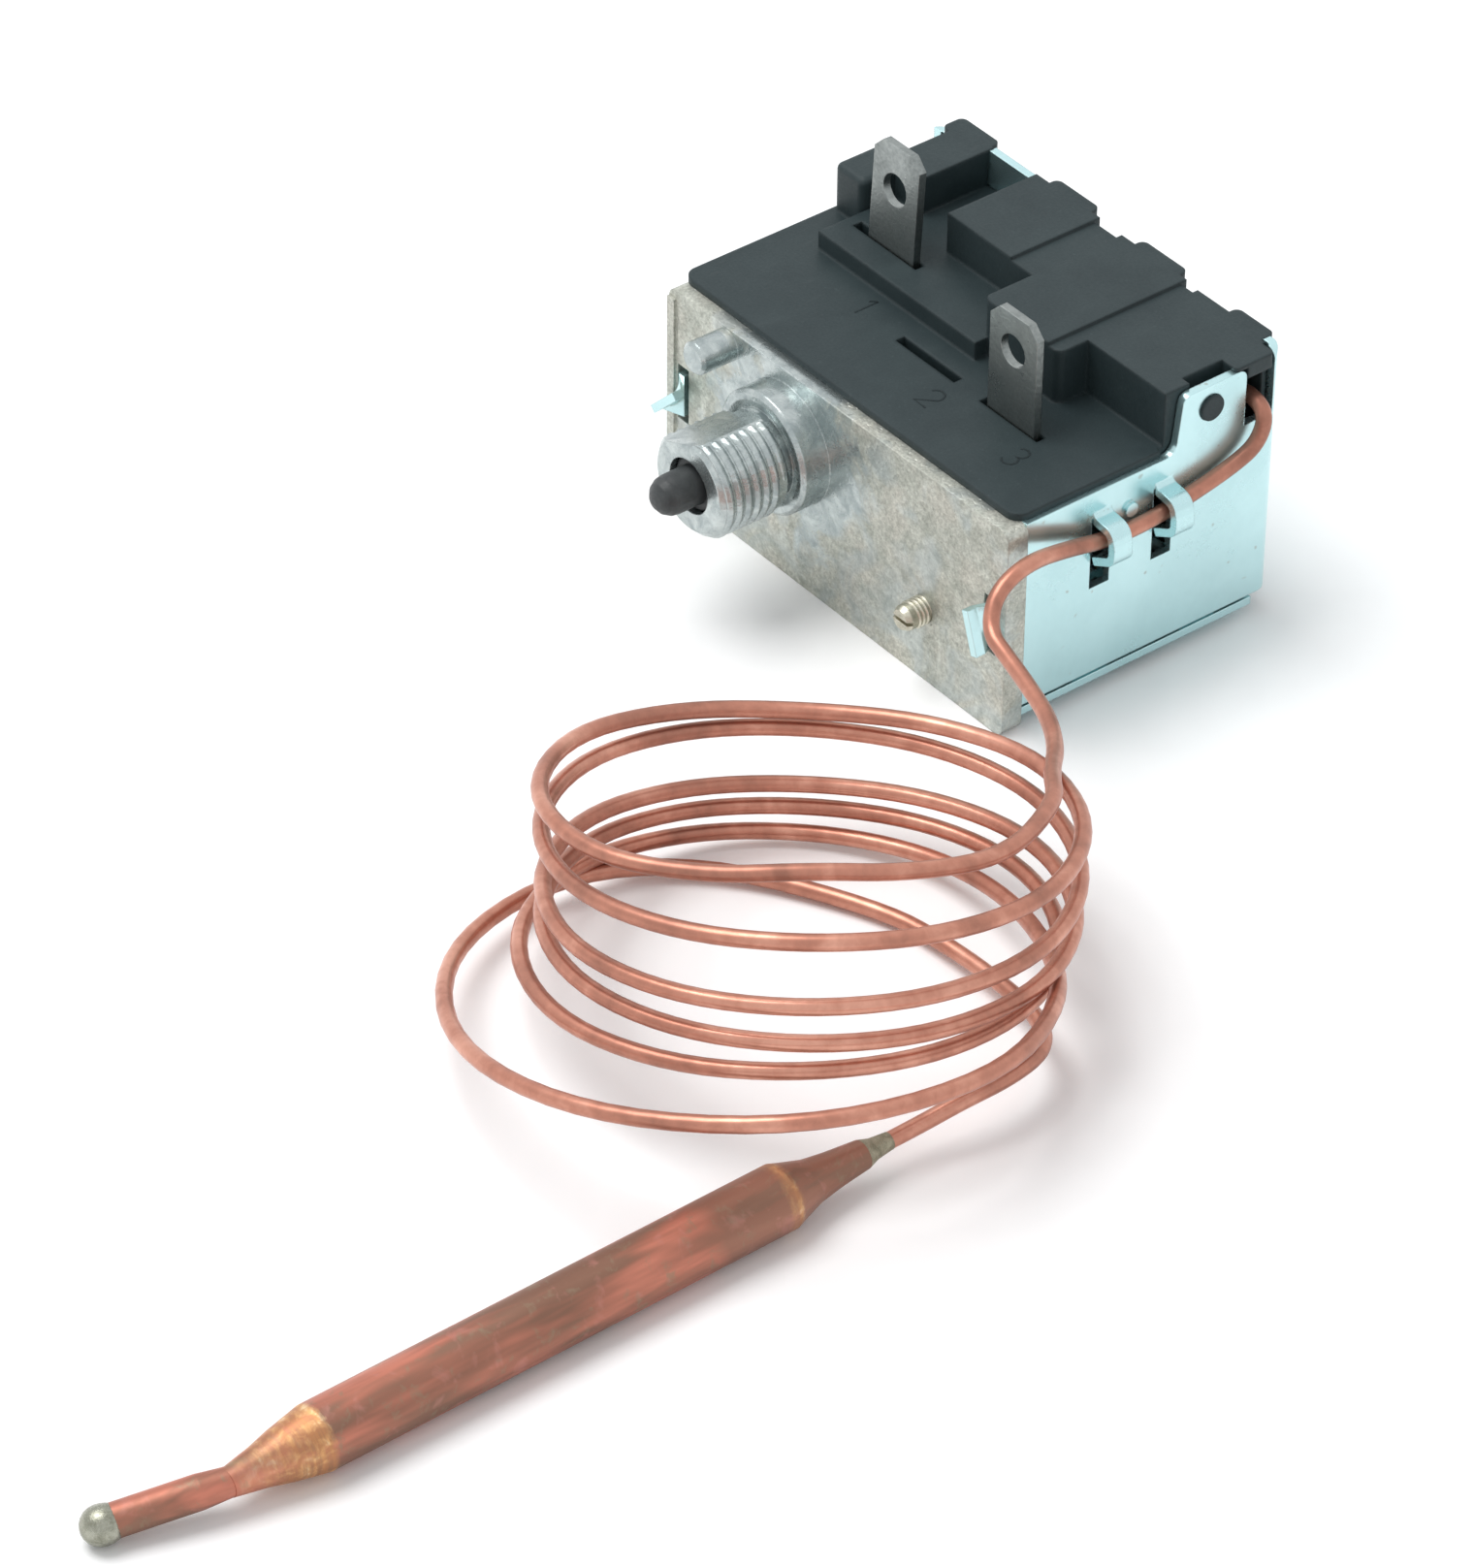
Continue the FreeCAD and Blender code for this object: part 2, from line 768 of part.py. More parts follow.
def side_frame():
    path = [
        point(frame_left + sheet / 2, plate_thick, 0),
        point(frame_left + sheet / 2, frame_depth - sheet / 2, 0),
        point(frame_right - sheet / 2, frame_depth - sheet / 2, 0),
        point(frame_right - sheet / 2, plate_thick, 0),
    ]
    wrap = bent_sheet(path, bend_radius, sheet, Z * (back_top - frame_bottom))
    wrap.translate(Z * frame_bottom)
    above = back_top + 1
    past = frame_depth + 1
    half = plate_width / 2
    beside = inner_right - bend_radius - 1
    removed = [
        box(-1, half, 0, corner_strip_front, frame_top, above),
        box(half, plate_width + 1, 0, ear_back, frame_top, above),
        box(half, beside, 0, inner_back, frame_top, above),
        box(beside, plate_width + 1, ear_back, corner_strip_front, notch_floor, above),
        box(-1, corner_block_right, inner_back - 1, past, back_shelf, above),
        box(block_1_left, lip_spans[-1][1] + cover_gap, inner_back - 1, past, back_shelf, above),
        rod(point(capsule_x, inner_back - 1, capsule_z), Y, capsule_spigot_radius + fit / 2, sheet + 2),
    ]
    snap_bottom = snap_lug_z - snap_clearance
    snap_top = snap_lug_z + snap_lug_height + snap_clearance
    snap_front = snap_lug_front - snap_clearance
    snap_back = snap_lug_front + snap_lug_width + snap_clearance
    removed.append(box(-1, inner_left + 1, snap_front, snap_back, snap_bottom, snap_top))
    for side in (frame_left, frame_right):
        inward = 1 if side < half else -1
        middle = side + inward * back_corner
        low = back_top - back_corner
        square = box(min(side, middle), max(side, middle), inner_back - 1, past, low, above)
        removed.append(square.cut(rod(point(middle, 0, low), Y, back_corner, past + 1)))
    for front in clip_fronts:
        near = front - clip_gap
        back = front + clip_width + clip_gap
        removed.append(box(inner_right - 1, frame_right + 1, near, back, clip_window_bottom, clip_root))
    frame = wrap.cut(removed)
    ear_solid = ear().cut(rod(point(inner_right - 1, ear_hole_y, ear_hole_z), X, ear_hole_radius, sheet + 2))
    added = [ear_solid] + [clip(front) for front in clip_fronts]
    nub_z = frame_top - nub_drop
    added.append(rod(point(frame_right - sheet / 2, nub_y, nub_z), X, nub_radius, nub_height + sheet / 2))
    added.append(frame_tab(frame_left + sheet / 2, slot_inset, left_twist))
    added.append(frame_tab(frame_right - sheet / 2, plate_width - slot_inset, -right_twist))
    return joined([frame] + added)


def base_plate():
    base_back = frame_depth - base_from_back
    pieces = [box(frame_left, frame_right, plate_thick, base_back, base_bottom, base_top)]
    section = [
        point(inner_left + sheet / 2, 0, base_lug_top),
        point(inner_left + sheet / 2, 0, base_bottom + sheet / 2),
        point(inner_right - sheet / 2, 0, base_bottom + sheet / 2),
        point(inner_right - sheet / 2, 0, base_lug_top),
    ]
    for front in (base_lug_front, frame_depth - base_lug_from_back):
        lugs = bent_sheet(section, bend_radius, sheet, Y * base_lug_width)
        lugs.translate(Y * front)
        pieces.append(lugs)
    windows = []
    front = pivot_y - lever_eye
    back = pivot_y + lever_eye
    ear_height = pivot_z + lever_eye - base_top
    for left, outward in ((lever_left - ear_clearance - sheet, -1), (lever_right + ear_clearance, 1)):
        pieces.append(box(left, left + sheet, front, back, base_bottom, pivot_z))
        pieces.append(rod(point(left, pivot_y, pivot_z), X, lever_eye, sheet))
        edge = left + sheet / 2 + outward * sheet / 2
        far = edge + outward * ear_height
        windows.append(box(min(edge, far), max(edge, far), front, back, base_bottom - 1, base_top + 1))
    pin_hole = rod(point(0, pivot_y, pivot_z), X, pivot_radius + fit / 2, plate_width)
    return joined(pieces).cut(windows + [pin_hole])


def cover_blocks():
    """The outside of the moulding, from the deck up."""
    right = inner_right - cover_gap
    back = inner_back - cover_gap
    deck_back = corner_strip_front - cover_gap
    deck = rounded_box(0, deck_right, deck_front, deck_back, frame_top, deck_top, deck_corner)
    ear_room = box(right, plate_width, ear_front - ear_root, back + 1, frame_top - 1, deck_top + 1)
    left = inner_left + cover_gap
    skirt_front = plate_thick + cover_gap
    skirt = rounded_box(left, right, skirt_front, back, skirt_bottom, deck_top, skirt_corner)
    plateau = box(plateau_left, plateau_right, plateau_front, back, deck_underside, plateau_top)
    tower_back = tower_front + tower_length
    tower = rounded_box(0, tower_right, tower_front, tower_back, frame_top, tower_top, tower_corner)
    tower_edges = [edge for edge in tower.Edges if edge.BoundBox.ZMin > tower_top - 0.01]
    tower = tower.makeFillet(tower_top_corner, tower_edges)
    bar_left = corner_block_left
    bar = box(bar_left, corner_block_right, corner_block_front, back, frame_top, corner_block_top)
    first = box(block_1_left, block_1_right, block_1_front, back, frame_top, block_1_top)
    first_low = block_1_top - block_1_step
    step_left = block_1_right - block_1_step_width
    first_step = box(step_left, block_1_right + 1, 0, back + 1, first_low, block_1_top + 1)
    second_end = block_3_left + block_step_length
    front = block_2_front
    second = rounded_box(block_2_left, second_end, front, back, frame_top, block_2_top, block_corner)
    second_step = box(block_3_left, second_end + 1, 0, back + 1, block_3_top, block_2_top + 1)
    bridge = box(block_1_right - 1, block_2_left + 1, block_1_front, back, frame_top, first_low)
    third = box(block_3_left, right, block_3_front, back, frame_top, block_3_top)
    wall_step_back = frame_depth - wall_step_from_back
    step_left = right - wall_step_depth
    wall_step = box(step_left, right + 1, wall_step_back, wing_front, deck_top, block_3_top + 1)
    behind = box(right - bend_radius, right + 1, wing_back, back + 1, frame_top, block_3_top + 1)
    wing_bottom = block_3_top - wing_thick
    wing_left = right - 2 * cover_wall
    wing = rounded_box(wing_left, wing_right, wing_front, wing_back, wing_bottom, block_3_top, wing_corner)
    past_ear = ear_back + cover_gap
    ear_tip = box(right, wing_right + 1, wing_front - 1, past_ear, deck_top, ear_top + cover_gap)
    pieces = [deck.cut(ear_room), skirt, plateau, tower, bar, first.cut(first_step), bridge]
    pieces += [second.cut(second_step), third.cut([wall_step, behind]), wing.cut(ear_tip)]
    return pieces


def cover_lips():
    """Lips at the back that lie on the top edge of the frame's back panel."""
    blocks = (
        (corner_block_left, corner_block_right, corner_block_top),
        (block_1_left, block_1_right - block_1_step_width, block_1_top),
        (block_2_left, block_3_left, block_2_top),
        (block_3_left + block_step_length, lip_spans[-1][1], block_3_top),
    )
    front = inner_back - 1
    pieces = []
    for (left, right), (block_left, block_right, top) in zip(lip_spans, blocks):
        pieces.append(box(block_left, block_right, front, cover_back, back_shelf, top))
        pieces.append(rounded_box(left, right, front, cover_back + lip_reach, back_shelf, top, lip_corner))
    return pieces


def cover_hollows():
    """The room under the deck, the plateau and the blocks."""
    wall = cover_wall
    left = inner_left + cover_gap + wall
    right = inner_right - cover_gap - wall
    front = plate_thick + cover_gap + wall
    back = inner_back - cover_gap - wall
    below = skirt_bottom - 1
    low = block_3_top - wing_thick
    first_top = block_1_top - block_1_step
    rooms = [box(left, right, front, back, below, deck_underside)]
    for start, end, near, top in (
        (plateau_left + wall, plateau_right - wall, plateau_front + wall, plateau_underside),
        (left, corner_block_right - wall, corner_block_front + wall, corner_block_top - wall),
        (block_1_left + wall, block_1_right - wall, block_1_front + wall, first_top - wall),
        (block_2_left + wall, block_3_left - wall, block_2_front + wall, block_3_top - wall),
        (block_3_left + wall, right - wall_step_depth, block_3_front + wall, low),
    ):
        rooms.append(box(start, end, near, back, below, top))
    gate_front = ear_back + cover_gap + cover_overlap
    gate_back = wing_back - wing_corner
    rooms.append(box(right - wall_step_depth - 1, plate_width, gate_front, gate_back, below, low))
    return rooms


def cover_slots():
    half = blade_slot_width / 2
    slot_2_left = plate_width - slot_2_from_right
    spans = (
        (tab_1_x - slot_1_before, tab_1_x + slot_1_after, tab_1_y + fit),
        (slot_2_left, slot_2_left + slot_2_length, tab_3_y),
        (tab_3_x - slot_3_before, tab_3_x + slot_3_after, tab_3_y),
    )
    slots = []
    for left, right, middle in spans:
        slots.append(box(left, right, middle - half, middle + half, skirt_bottom, plateau_top + 1))
    return slots


def cover_fittings():
    """What hangs under the deck: rod guide, spring stop, terminal pocket and rivet post."""
    ceiling = block_1_top - block_1_step - cover_wall + cover_overlap
    left = rod_x - guide_half_width
    right = rod_x + guide_half_width
    rib_front = rod_y + guide_half_width + guide_rib_gap
    rib_top = block_3_top - cover_wall + cover_overlap
    rib = box(left, right, rib_front, rib_front + guide_rib_thick, guide_bottom, rib_top)
    shelf = box(left, right, rod_y - guide_front, rib_front + fit, guide_bottom, guide_bottom + guide_thick)
    stop_left = contact_spring_x - contact_stop_half
    stop_right = contact_spring_x + contact_stop_half
    stop_back = rod_y + contact_stop_behind
    stop = box(stop_left, stop_right, block_1_front + fit, stop_back, contact_spring_top, ceiling)
    pocket_left = yoke_start - yoke_pocket_wall
    pocket_right = yoke_start + sheet + yoke_pocket_wall
    pocket_front = rod_y - yoke_pocket_front
    pocket_back = rod_y + yoke_pocket_back
    pocket_top = plateau_underside + cover_overlap
    pocket = box(pocket_left, pocket_right, pocket_front, pocket_back, yoke_top - 1, pocket_top)
    pocket_slot = box(yoke_start - fit, yoke_start + sheet + fit, pocket_front - 1, pocket_back + 1,
                      yoke_top - 2, yoke_top)
    half = rivet_post_half
    post_top = deck_underside + cover_overlap
    post = box(rivet_x - half, rivet_x + half, rivet_y - half, rivet_y + half, foot_top, post_top)
    return [rib, shelf, stop, pocket.cut(pocket_slot), post]


def terminal_cover():
    shell = joined(cover_blocks() + cover_lips())
    shell = shell.cut(cover_hollows())
    peg_start = inner_right - cover_gap - wall_step_depth - cover_wall / 2
    peg_end = frame_right + cover_peg_reach
    peg = rod(point(peg_start, ear_hole_y, ear_hole_z), X, cover_peg_radius, peg_end - peg_start)
    lug_right = inner_left + cover_gap + cover_overlap
    lug_back = snap_lug_front + snap_lug_width
    lug = box(frame_left, lug_right, snap_lug_front, lug_back, snap_lug_z, snap_lug_z + snap_lug_height)
    shell = joined([shell, peg, lug] + cover_fittings())
    rod_bore = rod(point(rod_x, rod_y, guide_bottom - 1), Z, rod_radius + fit, guide_thick + 2)
    rivet_bore = rod(point(rivet_x, rivet_y, foot_top - 1), Z, rivet_radius + fit / 2, rivet_hold + 1 + fit)
    return shell.cut(cover_slots() + [rod_bore, rivet_bore])


def blade_end(middle, bottom, top, hole_z, y):
    """The part of a plug-in tab above its fold: chamfered corners and a latching hole."""
    left = middle - tab_width / 2
    right = middle + tab_width / 2
    outline = (
        point(left, y - tab_thick / 2, bottom),
        point(right, y - tab_thick / 2, bottom),
        point(right, y - tab_thick / 2, top - tab_corner),
        point(right - tab_corner, y - tab_thick / 2, top),
        point(left + tab_corner, y - tab_thick / 2, top),
        point(left, y - tab_thick / 2, top - tab_corner),
    )
    blade = plate_from(outline, Y * tab_thick)
    return blade.cut(rod(point(middle, y - 2, hole_z), Y, tab_hole_radius, 4))


def terminal_tab_3():
    fold = foot_top + tab_fold_rise
    blade = blade_end(tab_3_x, fold, tab_3_top, tab_3_top - tab_3_hole_drop, tab_3_y)
    left = tab_3_x - tab_width / 2
    foot_middle = foot_top - tab_thick / 2
    path = [
        point(left, tab_3_y, fold),
        point(left, tab_3_y, foot_middle),
        point(left, rod_y + contact_radius + 4 * fit, foot_middle),
    ]
    foot = bent_sheet(path, tab_thick, tab_thick, X * tab_width)
    shoulder_left = tab_3_x - slot_3_before - tab_shoulder
    shoulder_right = tab_3_x + slot_3_after + tab_shoulder
    front = tab_3_y - tab_thick / 2
    shoulders = box(shoulder_left, shoulder_right, front, front + tab_thick, fold, deck_underside)
    hole = rod(point(rivet_x, rivet_y, foot_top - 2), Z, rivet_radius + fit / 2, 4)
    return joined([blade, foot, shoulders]).cut(hole)


def terminal_tab_1():
    bend_z = plateau_underside
    upper = blade_end(tab_1_x, bend_z, tab_1_top, tab_1_top - tab_1_hole_drop, tab_1_y)
    upper.rotate(point(0, tab_1_y, bend_z), X, -tab_1_lean)
    left = tab_1_x - tab_width / 2
    right = tab_1_x + tab_width / 2
    front = tab_1_y - tab_thick / 2
    lower = box(left, right, front, front + tab_thick, yoke_top - tab_thick, bend_z)
    knuckle = rod(point(left, tab_1_y, bend_z), X, tab_thick / 2, tab_width)
    path = [
        point(right, tab_1_y, yoke_bottom),
        point(yoke_start + sheet / 2, tab_1_y, yoke_bottom),
        point(yoke_start + sheet / 2, yoke_back - sheet / 2, yoke_bottom),
        point(yoke_end, yoke_back - sheet / 2, yoke_bottom),
    ]
    yoke = bent_sheet(path, bend_radius, tab_thick, Z * (yoke_top - yoke_bottom))
    hole = rod(point(arm_hinge_x, tab_1_y - 1, arm_hinge_z), Y, arm_pin_radius + fit / 2, yoke_back)
    return joined([upper, knuckle, lower, yoke]).cut(hole)


def terminal_rivet():
    under = foot_top - tab_thick
    shank = rod(point(rivet_x, rivet_y, under), Z, rivet_radius, tab_thick + rivet_hold)
    head = rod(point(rivet_x, rivet_y, under - rivet_head_thick), Z, rivet_head_radius, rivet_head_thick)
    return joined([shank, head])


def contact_disc(bottom):
    outline = (
        (0.0, contact_radius),
        (contact_thick - contact_edge, contact_radius),
        (contact_thick, contact_radius - contact_edge),
    )
    return turned(outline, point(contact_x, rod_y, bottom), Z)


def fixed_contact():
    return contact_disc(foot_top)


def moving_contact():
    disc = contact_disc(0)
    disc.rotate(point(contact_x, rod_y, contact_thick / 2), X, 180)
    disc.translate(Z * moving_face)
    return disc


def contact_arm():
    eye_front = tab_1_y + tab_thick / 2 + arm_eye_gap
    eye_back = yoke_back - sheet - arm_eye_gap
    eye = rod(point(arm_hinge_x, eye_front, arm_hinge_z), Y, arm_eye_radius, eye_back - eye_front)
    front = rod_y - arm_half_width
    back = rod_y + arm_half_width
    strip = rounded_box(arm_hinge_x, arm_end, front, back, arm_underside, arm_topside, arm_corner)
    bore = rod(point(arm_hinge_x, 0, arm_hinge_z), Y, arm_pin_radius + fit, yoke_back + 2)
    return joined([eye, strip]).cut(bore)


def contact_pin():
    start = tab_1_y - tab_thick / 2 - arm_pin_overhang
    length = yoke_back + arm_pin_overhang - start
    return rod(point(arm_hinge_x, start, arm_hinge_z), Y, arm_pin_radius, length)


def contact_spring():
    start = point(contact_spring_x, rod_y, arm_topside)
    return coil_spring(start, Z, contact_coil_radius, contact_wire, contact_spring_length, contact_turns)


def push_rod():
    """A ceramic rod, round at both ends, between the lever's foot and the contact arm."""
    bottom = lever_foot_top + fit
    length = arm_underside - fit - bottom
    outline = crown(0, 1, rod_radius) + crown(length, -1, rod_radius)[::-1]
    return turned(outline, point(rod_x, rod_y, bottom), Z)


def reset_button():
    """The button's nose, its body in the bush and the stem that reaches the trip lever."""
    body_start = button_tip + button_recess
    body_end = body_start + button_body_length
    clip_place = plate_thick + fit - button_front
    stem_end = button_stem_end - button_front
    groove = button_stem_radius - groove_depth
    nose = []
    for angle in nose_angles:
        along = button_nose_radius * (1 - math.sin(math.radians(angle)))
        nose.append((along, button_nose_radius * math.cos(math.radians(angle))))
    outline = nose + [
        (body_start, button_nose_radius),
        (body_start, button_radius - button_edge),
        (body_start + button_edge, button_radius),
        (body_end, button_radius),
        (body_end, button_stem_radius),
        (clip_place, button_stem_radius),
        (clip_place, groove),
        (clip_place + clip_ring_thick, groove),
        (clip_place + clip_ring_thick, button_stem_radius),
    ]
    outline += crown(stem_end, -1, button_stem_radius)[::-1]
    return turned(outline, point(bush_x, button_front, bush_z), Y)


def button_clip():
    """The open retaining ring in the stem's groove."""
    start = point(bush_x, plate_thick + fit, bush_z)
    ring = rod(start, Y, clip_ring_radius, clip_ring_thick)
    mouth = button_stem_radius - groove_depth
    ring = ring.cut(rod(start - Y, Y, mouth, clip_ring_thick + 2))
    half = mouth - fit
    low = bush_z - 2 * clip_ring_radius
    opening = box(bush_x - half, bush_x + half, plate_thick - 1, plate_thick + 2, low, bush_z)
    return ring.cut(opening)


def spring_retainer():
    start = point(bush_x, plate_thick - retainer_thick, bush_z)
    disc = rod(start, Y, retainer_pocket_radius - fit / 2, retainer_thick)
    return disc.cut(rod(start - Y, Y, button_stem_radius + fit, retainer_thick + 2))


def reset_spring():
    start = point(bush_x, button_body_back, bush_z)
    length = plate_thick - retainer_thick - button_body_back
    return coil_spring(start, Y, reset_coil_radius, reset_wire, length, reset_turns)


def trip_lever():
    """A bell crank: a web in front of the pin, two cheeks with eyes and a foot to the back."""
    notch_left = lever_foot_left - lever_notch_beside
    notch_right = lever_foot_right + lever_notch_beside
    notch_top = lever_foot_top + lever_notch_above
    band_top = pivot_z + lever_web_top
    tongue_right = bush_x + lever_tongue_right
    tongue_top = bush_z + lever_tongue_above
    pad_left = capsule_x - lever_pad_left
    pad_top = capsule_z + lever_pad_above
    outline = (
        point(lever_left, lever_front, lever_bottom),
        point(notch_left, lever_front, lever_bottom),
        point(notch_left, lever_front, notch_top),
        point(notch_right, lever_front, notch_top),
        point(notch_right, lever_front, lever_bottom),
        point(lever_right, lever_front, lever_bottom),
        point(lever_right, lever_front, pad_top),
        point(pad_left, lever_front, pad_top),
        point(pad_left - lever_slope, lever_front, band_top),
        point(tongue_right + lever_slope, lever_front, band_top),
        point(tongue_right, lever_front, band_top + lever_slope),
        point(tongue_right, lever_front, tongue_top),
        point(lever_left, lever_front, tongue_top),
    )
    web = plate_from(outline, Y * lever_sheet)
    middle_y = lever_front + lever_sheet / 2
    middle_z = lever_foot_top - lever_sheet / 2
    path = [
        point(lever_foot_left, middle_y, band_top),
        point(lever_foot_left, middle_y, middle_z),
        point(lever_foot_left, lever_foot_back, middle_z),
    ]
    pieces = [web, bent_sheet(path, 2 * tight_bend, lever_sheet, X * (lever_foot_right - lever_foot_left))]
    cheek_top = pad_top - lever_sheet / 2
    low = math.radians(lever_cheek_low)
    high = math.radians(lever_cheek_high)
    for left in (lever_left, lever_right - lever_sheet):
        cheek = (
            point(left, lever_front, lever_bottom),
            point(left, pivot_y + lever_eye * math.cos(low), pivot_z + lever_eye * math.sin(low)),
            point(left, pivot_y + lever_eye * math.cos(high), pivot_z + lever_eye * math.sin(high)),
            point(left, lever_back, cheek_top),
            point(left, lever_front, cheek_top),
        )
        pieces.append(plate_from(cheek, X * lever_sheet))
        pieces.append(rod(point(left, pivot_y, pivot_z), X, lever_eye, lever_sheet))
    lever = joined(pieces)
    return lever.cut(rod(point(0, pivot_y, pivot_z), X, pivot_radius + fit, plate_width))


def lever_pin():
    beyond = ear_clearance + sheet + pivot_overhang
    start = lever_left - beyond
    return rod(point(start, pivot_y, pivot_z), X, pivot_radius, lever_right + beyond - start)


def calibration_screw():
    length = screw_reach + screw_back
    outline = (
        (0.0, screw_tip_radius),
        (screw_tip_length, screw_radius),
        (length - screw_tip_length, screw_radius),
        (length, screw_tip_radius),
    )
    screw = turned(outline, point(screw_x, -screw_reach, screw_z), Y)
    half = screw_slot_width / 2
    left = screw_x - screw_radius
    right = screw_x + screw_radius
    floor = screw_slot_depth - screw_reach
    return screw.cut(box(left, right, -screw_reach - 1, floor, screw_z - half, screw_z + half))


def spring_nut():
    half = nut_across / 2
    left = screw_x - half
    right = screw_x + half
    nut_back = nut_front + nut_thick
    nut = box(left, right, nut_front, nut_back, screw_z - half, screw_z + half)
    return nut.cut(rod(point(screw_x, 0, screw_z), Y, screw_radius + fit / 2, nut_back + 1))


def range_spring():
    start = point(screw_x, nut_front + nut_thick, screw_z)
    return coil_spring(start, Y, range_coil_radius, range_wire, lever_front - start.y, range_turns)


def diaphragm_capsule():
    """Two dished discs joined at their rim, with the tube's stub and the boss that fixes it."""
    half = capsule_rim / 2
    front = capsule_front - capsule_middle
    back = capsule_back - capsule_middle
    panel = inner_back - capsule_middle
    outline = (
        (front, capsule_crown_radius),
        (-half, capsule_dome_radius),
        (-half, capsule_radius),
        (half, capsule_radius),
        (half, capsule_dome_radius),
        (back, capsule_crown_radius),
        (back, capsule_boss_radius),
        (panel, capsule_boss_radius),
        (panel, capsule_spigot_radius),
        (panel + sheet, capsule_spigot_radius),
        (panel + sheet, peened_radius),
        (panel + sheet + peened_height, peened_radius - peened_height),
    )
    capsule = turned(outline, point(capsule_x, capsule_middle, capsule_z), Y)
    stub = rod(stub_place(stub_start), stub_direction(), stub_radius, stub_end - stub_start)
    return joined([capsule, stub])


def stub_direction():
    angle = math.radians(stub_angle)
    return point(math.cos(angle), 0, math.sin(angle))


def stub_place(distance):
    """A place on the stub's middle line, so far from the capsule's middle."""
    return point(capsule_x, capsule_middle, capsule_z) + stub_direction() * distance


def capsule_cup():
    """The turned guide on the capsule's front that holds the thrust pin."""
    start = point(capsule_x, cup_front, capsule_z)
    cup = rod(start, Y, cup_radius, cup_length)
    pin_travel = button_travel * (capsule_z - pivot_z) / (bush_z - pivot_z)
    depth = thrust_pin_depth + pin_travel + cup_floor
    return cup.cut(rod(start - Y, Y, thrust_pin_radius + fit, depth + 1))


def thrust_pin():
    front = lever_back + fit
    outline = crown(0, 1, thrust_pin_radius) + [(thrust_pin_back - front, thrust_pin_radius)]
    return turned(outline, point(capsule_x, front, capsule_z), Y)


def between_quarters(values, place):
    """A value between four that go once round, on a smooth closed curve through them."""
    index = int(place)
    share = place - index
    before, near, far, after = [values[(index + step) % 4] for step in (-1, 0, 1, 2)]
    bend = 2 * before - 5 * near + 4 * far - after
    twist = 3 * (near - far) + after - before
    return near + 0.5 * share * (far - before + share * (bend + share * twist))


def coil_place(angle, radius, height):
    """A place in the coil: angle runs from its right side over the front to the left."""
    heading = math.radians(coil_turn_angle)
    right = point(math.cos(heading), math.sin(heading), 0)
    toward = point(math.sin(heading), -math.cos(heading), 0)
    outward = right * math.cos(angle) + toward * math.sin(angle)
    return right * coil_right + toward * coil_toward + outward * radius + Z * height


def coil_section(place):
    """The band of all turns, cut at one place round the coil: a ring of points."""
    angle = place * math.pi / 2
    spots = []
    for turn in coil_turns:
        radius = between_quarters([quarter[0] for quarter in turn], place)
        height = between_quarters([quarter[1] for quarter in turn], place)
        spots.append(FreeCAD.Vector(radius, height, 0))
    runs = [(after - before).normalize() for before, after in zip(spots, spots[1:])]
    runs = [runs[0]] + runs + [runs[-1]]
    outside = []
    inside = []
    for spot, before, after in zip(spots, runs, runs[1:]):
        across = Z.cross((before + after).normalize()) * capillary_radius
        outside.append(spot + across)
        inside.append(spot - across)
    outside[0] -= runs[0] * capillary_radius
    inside[0] -= runs[0] * capillary_radius
    ring = outside + inside[::-1]
    return [coil_place(angle, spot.x, max(spot.y, capillary_clearance)) for spot in ring]


def capillary_coil():
    """One closed solid of the coil's outer shape: a thin band through all of its turns."""
    rings = [coil_section(4 * step / coil_sections) for step in range(coil_sections)]
    faces = []
    for ring, onward in zip(rings, rings[1:] + rings[:1]):
        for index in range(len(ring)):
            first = ring[index - 1]
            second = ring[index]
            third = onward[index]
            fourth = onward[index - 1]
            faces.append(Part.Face(Part.makePolygon([first, second, third, first])))
            faces.append(Part.Face(Part.makePolygon([first, third, fourth, first])))
    return Part.Solid(Part.Shell(faces))


def arc_radii(places):
    """The largest radius that each bend's two runs allow."""
    radii = []
    for before, corner, after in zip(places, places[1:], places[2:]):
        turn = (corner - before).getAngle(after - corner)
        shorter = min((corner - before).Length, (after - corner).Length)
        radii.append(0.45 * shorter / math.tan(turn / 2))
    return radii


def tube(places):
    radii = arc_radii(places)
    print("arc radii", [round(radius, 1) for radius in radii])
    wire = route_wire(places, radii)
    around = Part.makeCircle(capillary_radius, places[0], places[1] - places[0]).discretize(tube_sides + 1)
    section = Part.makePolygon(around[:-1] + [around[0]])
    solid = wire.makePipeShell([section], True, False)
    area = Part.Face(section).Area
    share = solid.Volume / (area * wire.Length)
    print("tube length", round(wire.Length, 1), "volume share", round(share, 4))
    return solid


def capillary_lead():
    """The stretch from the capsule, along the clips and to the coil's first turn."""
    lead = tube([stub_place(stub_end)] + [point(*place) for place in lead_route])
    return longest_piece(lead.cut(capillary_coil()))


def capillary_tail():
    """The stretch from the coil's last turn to the bulb."""
    radius, height = coil_turns[-1][-1]
    start = coil_place(3 * math.pi / 2, radius, height)
    tail = tube([start] + [point(*place) for place in tail_route] + [point(bulb_x, braze_end, bulb_radius)])
    return longest_piece(tail.cut(capillary_coil()))


def longest_piece(shape):
    """What is left of a tube outside the coil, without the slivers in the coil's bends."""
    return max(shape.Solids, key=lambda solid: solid.Volume)


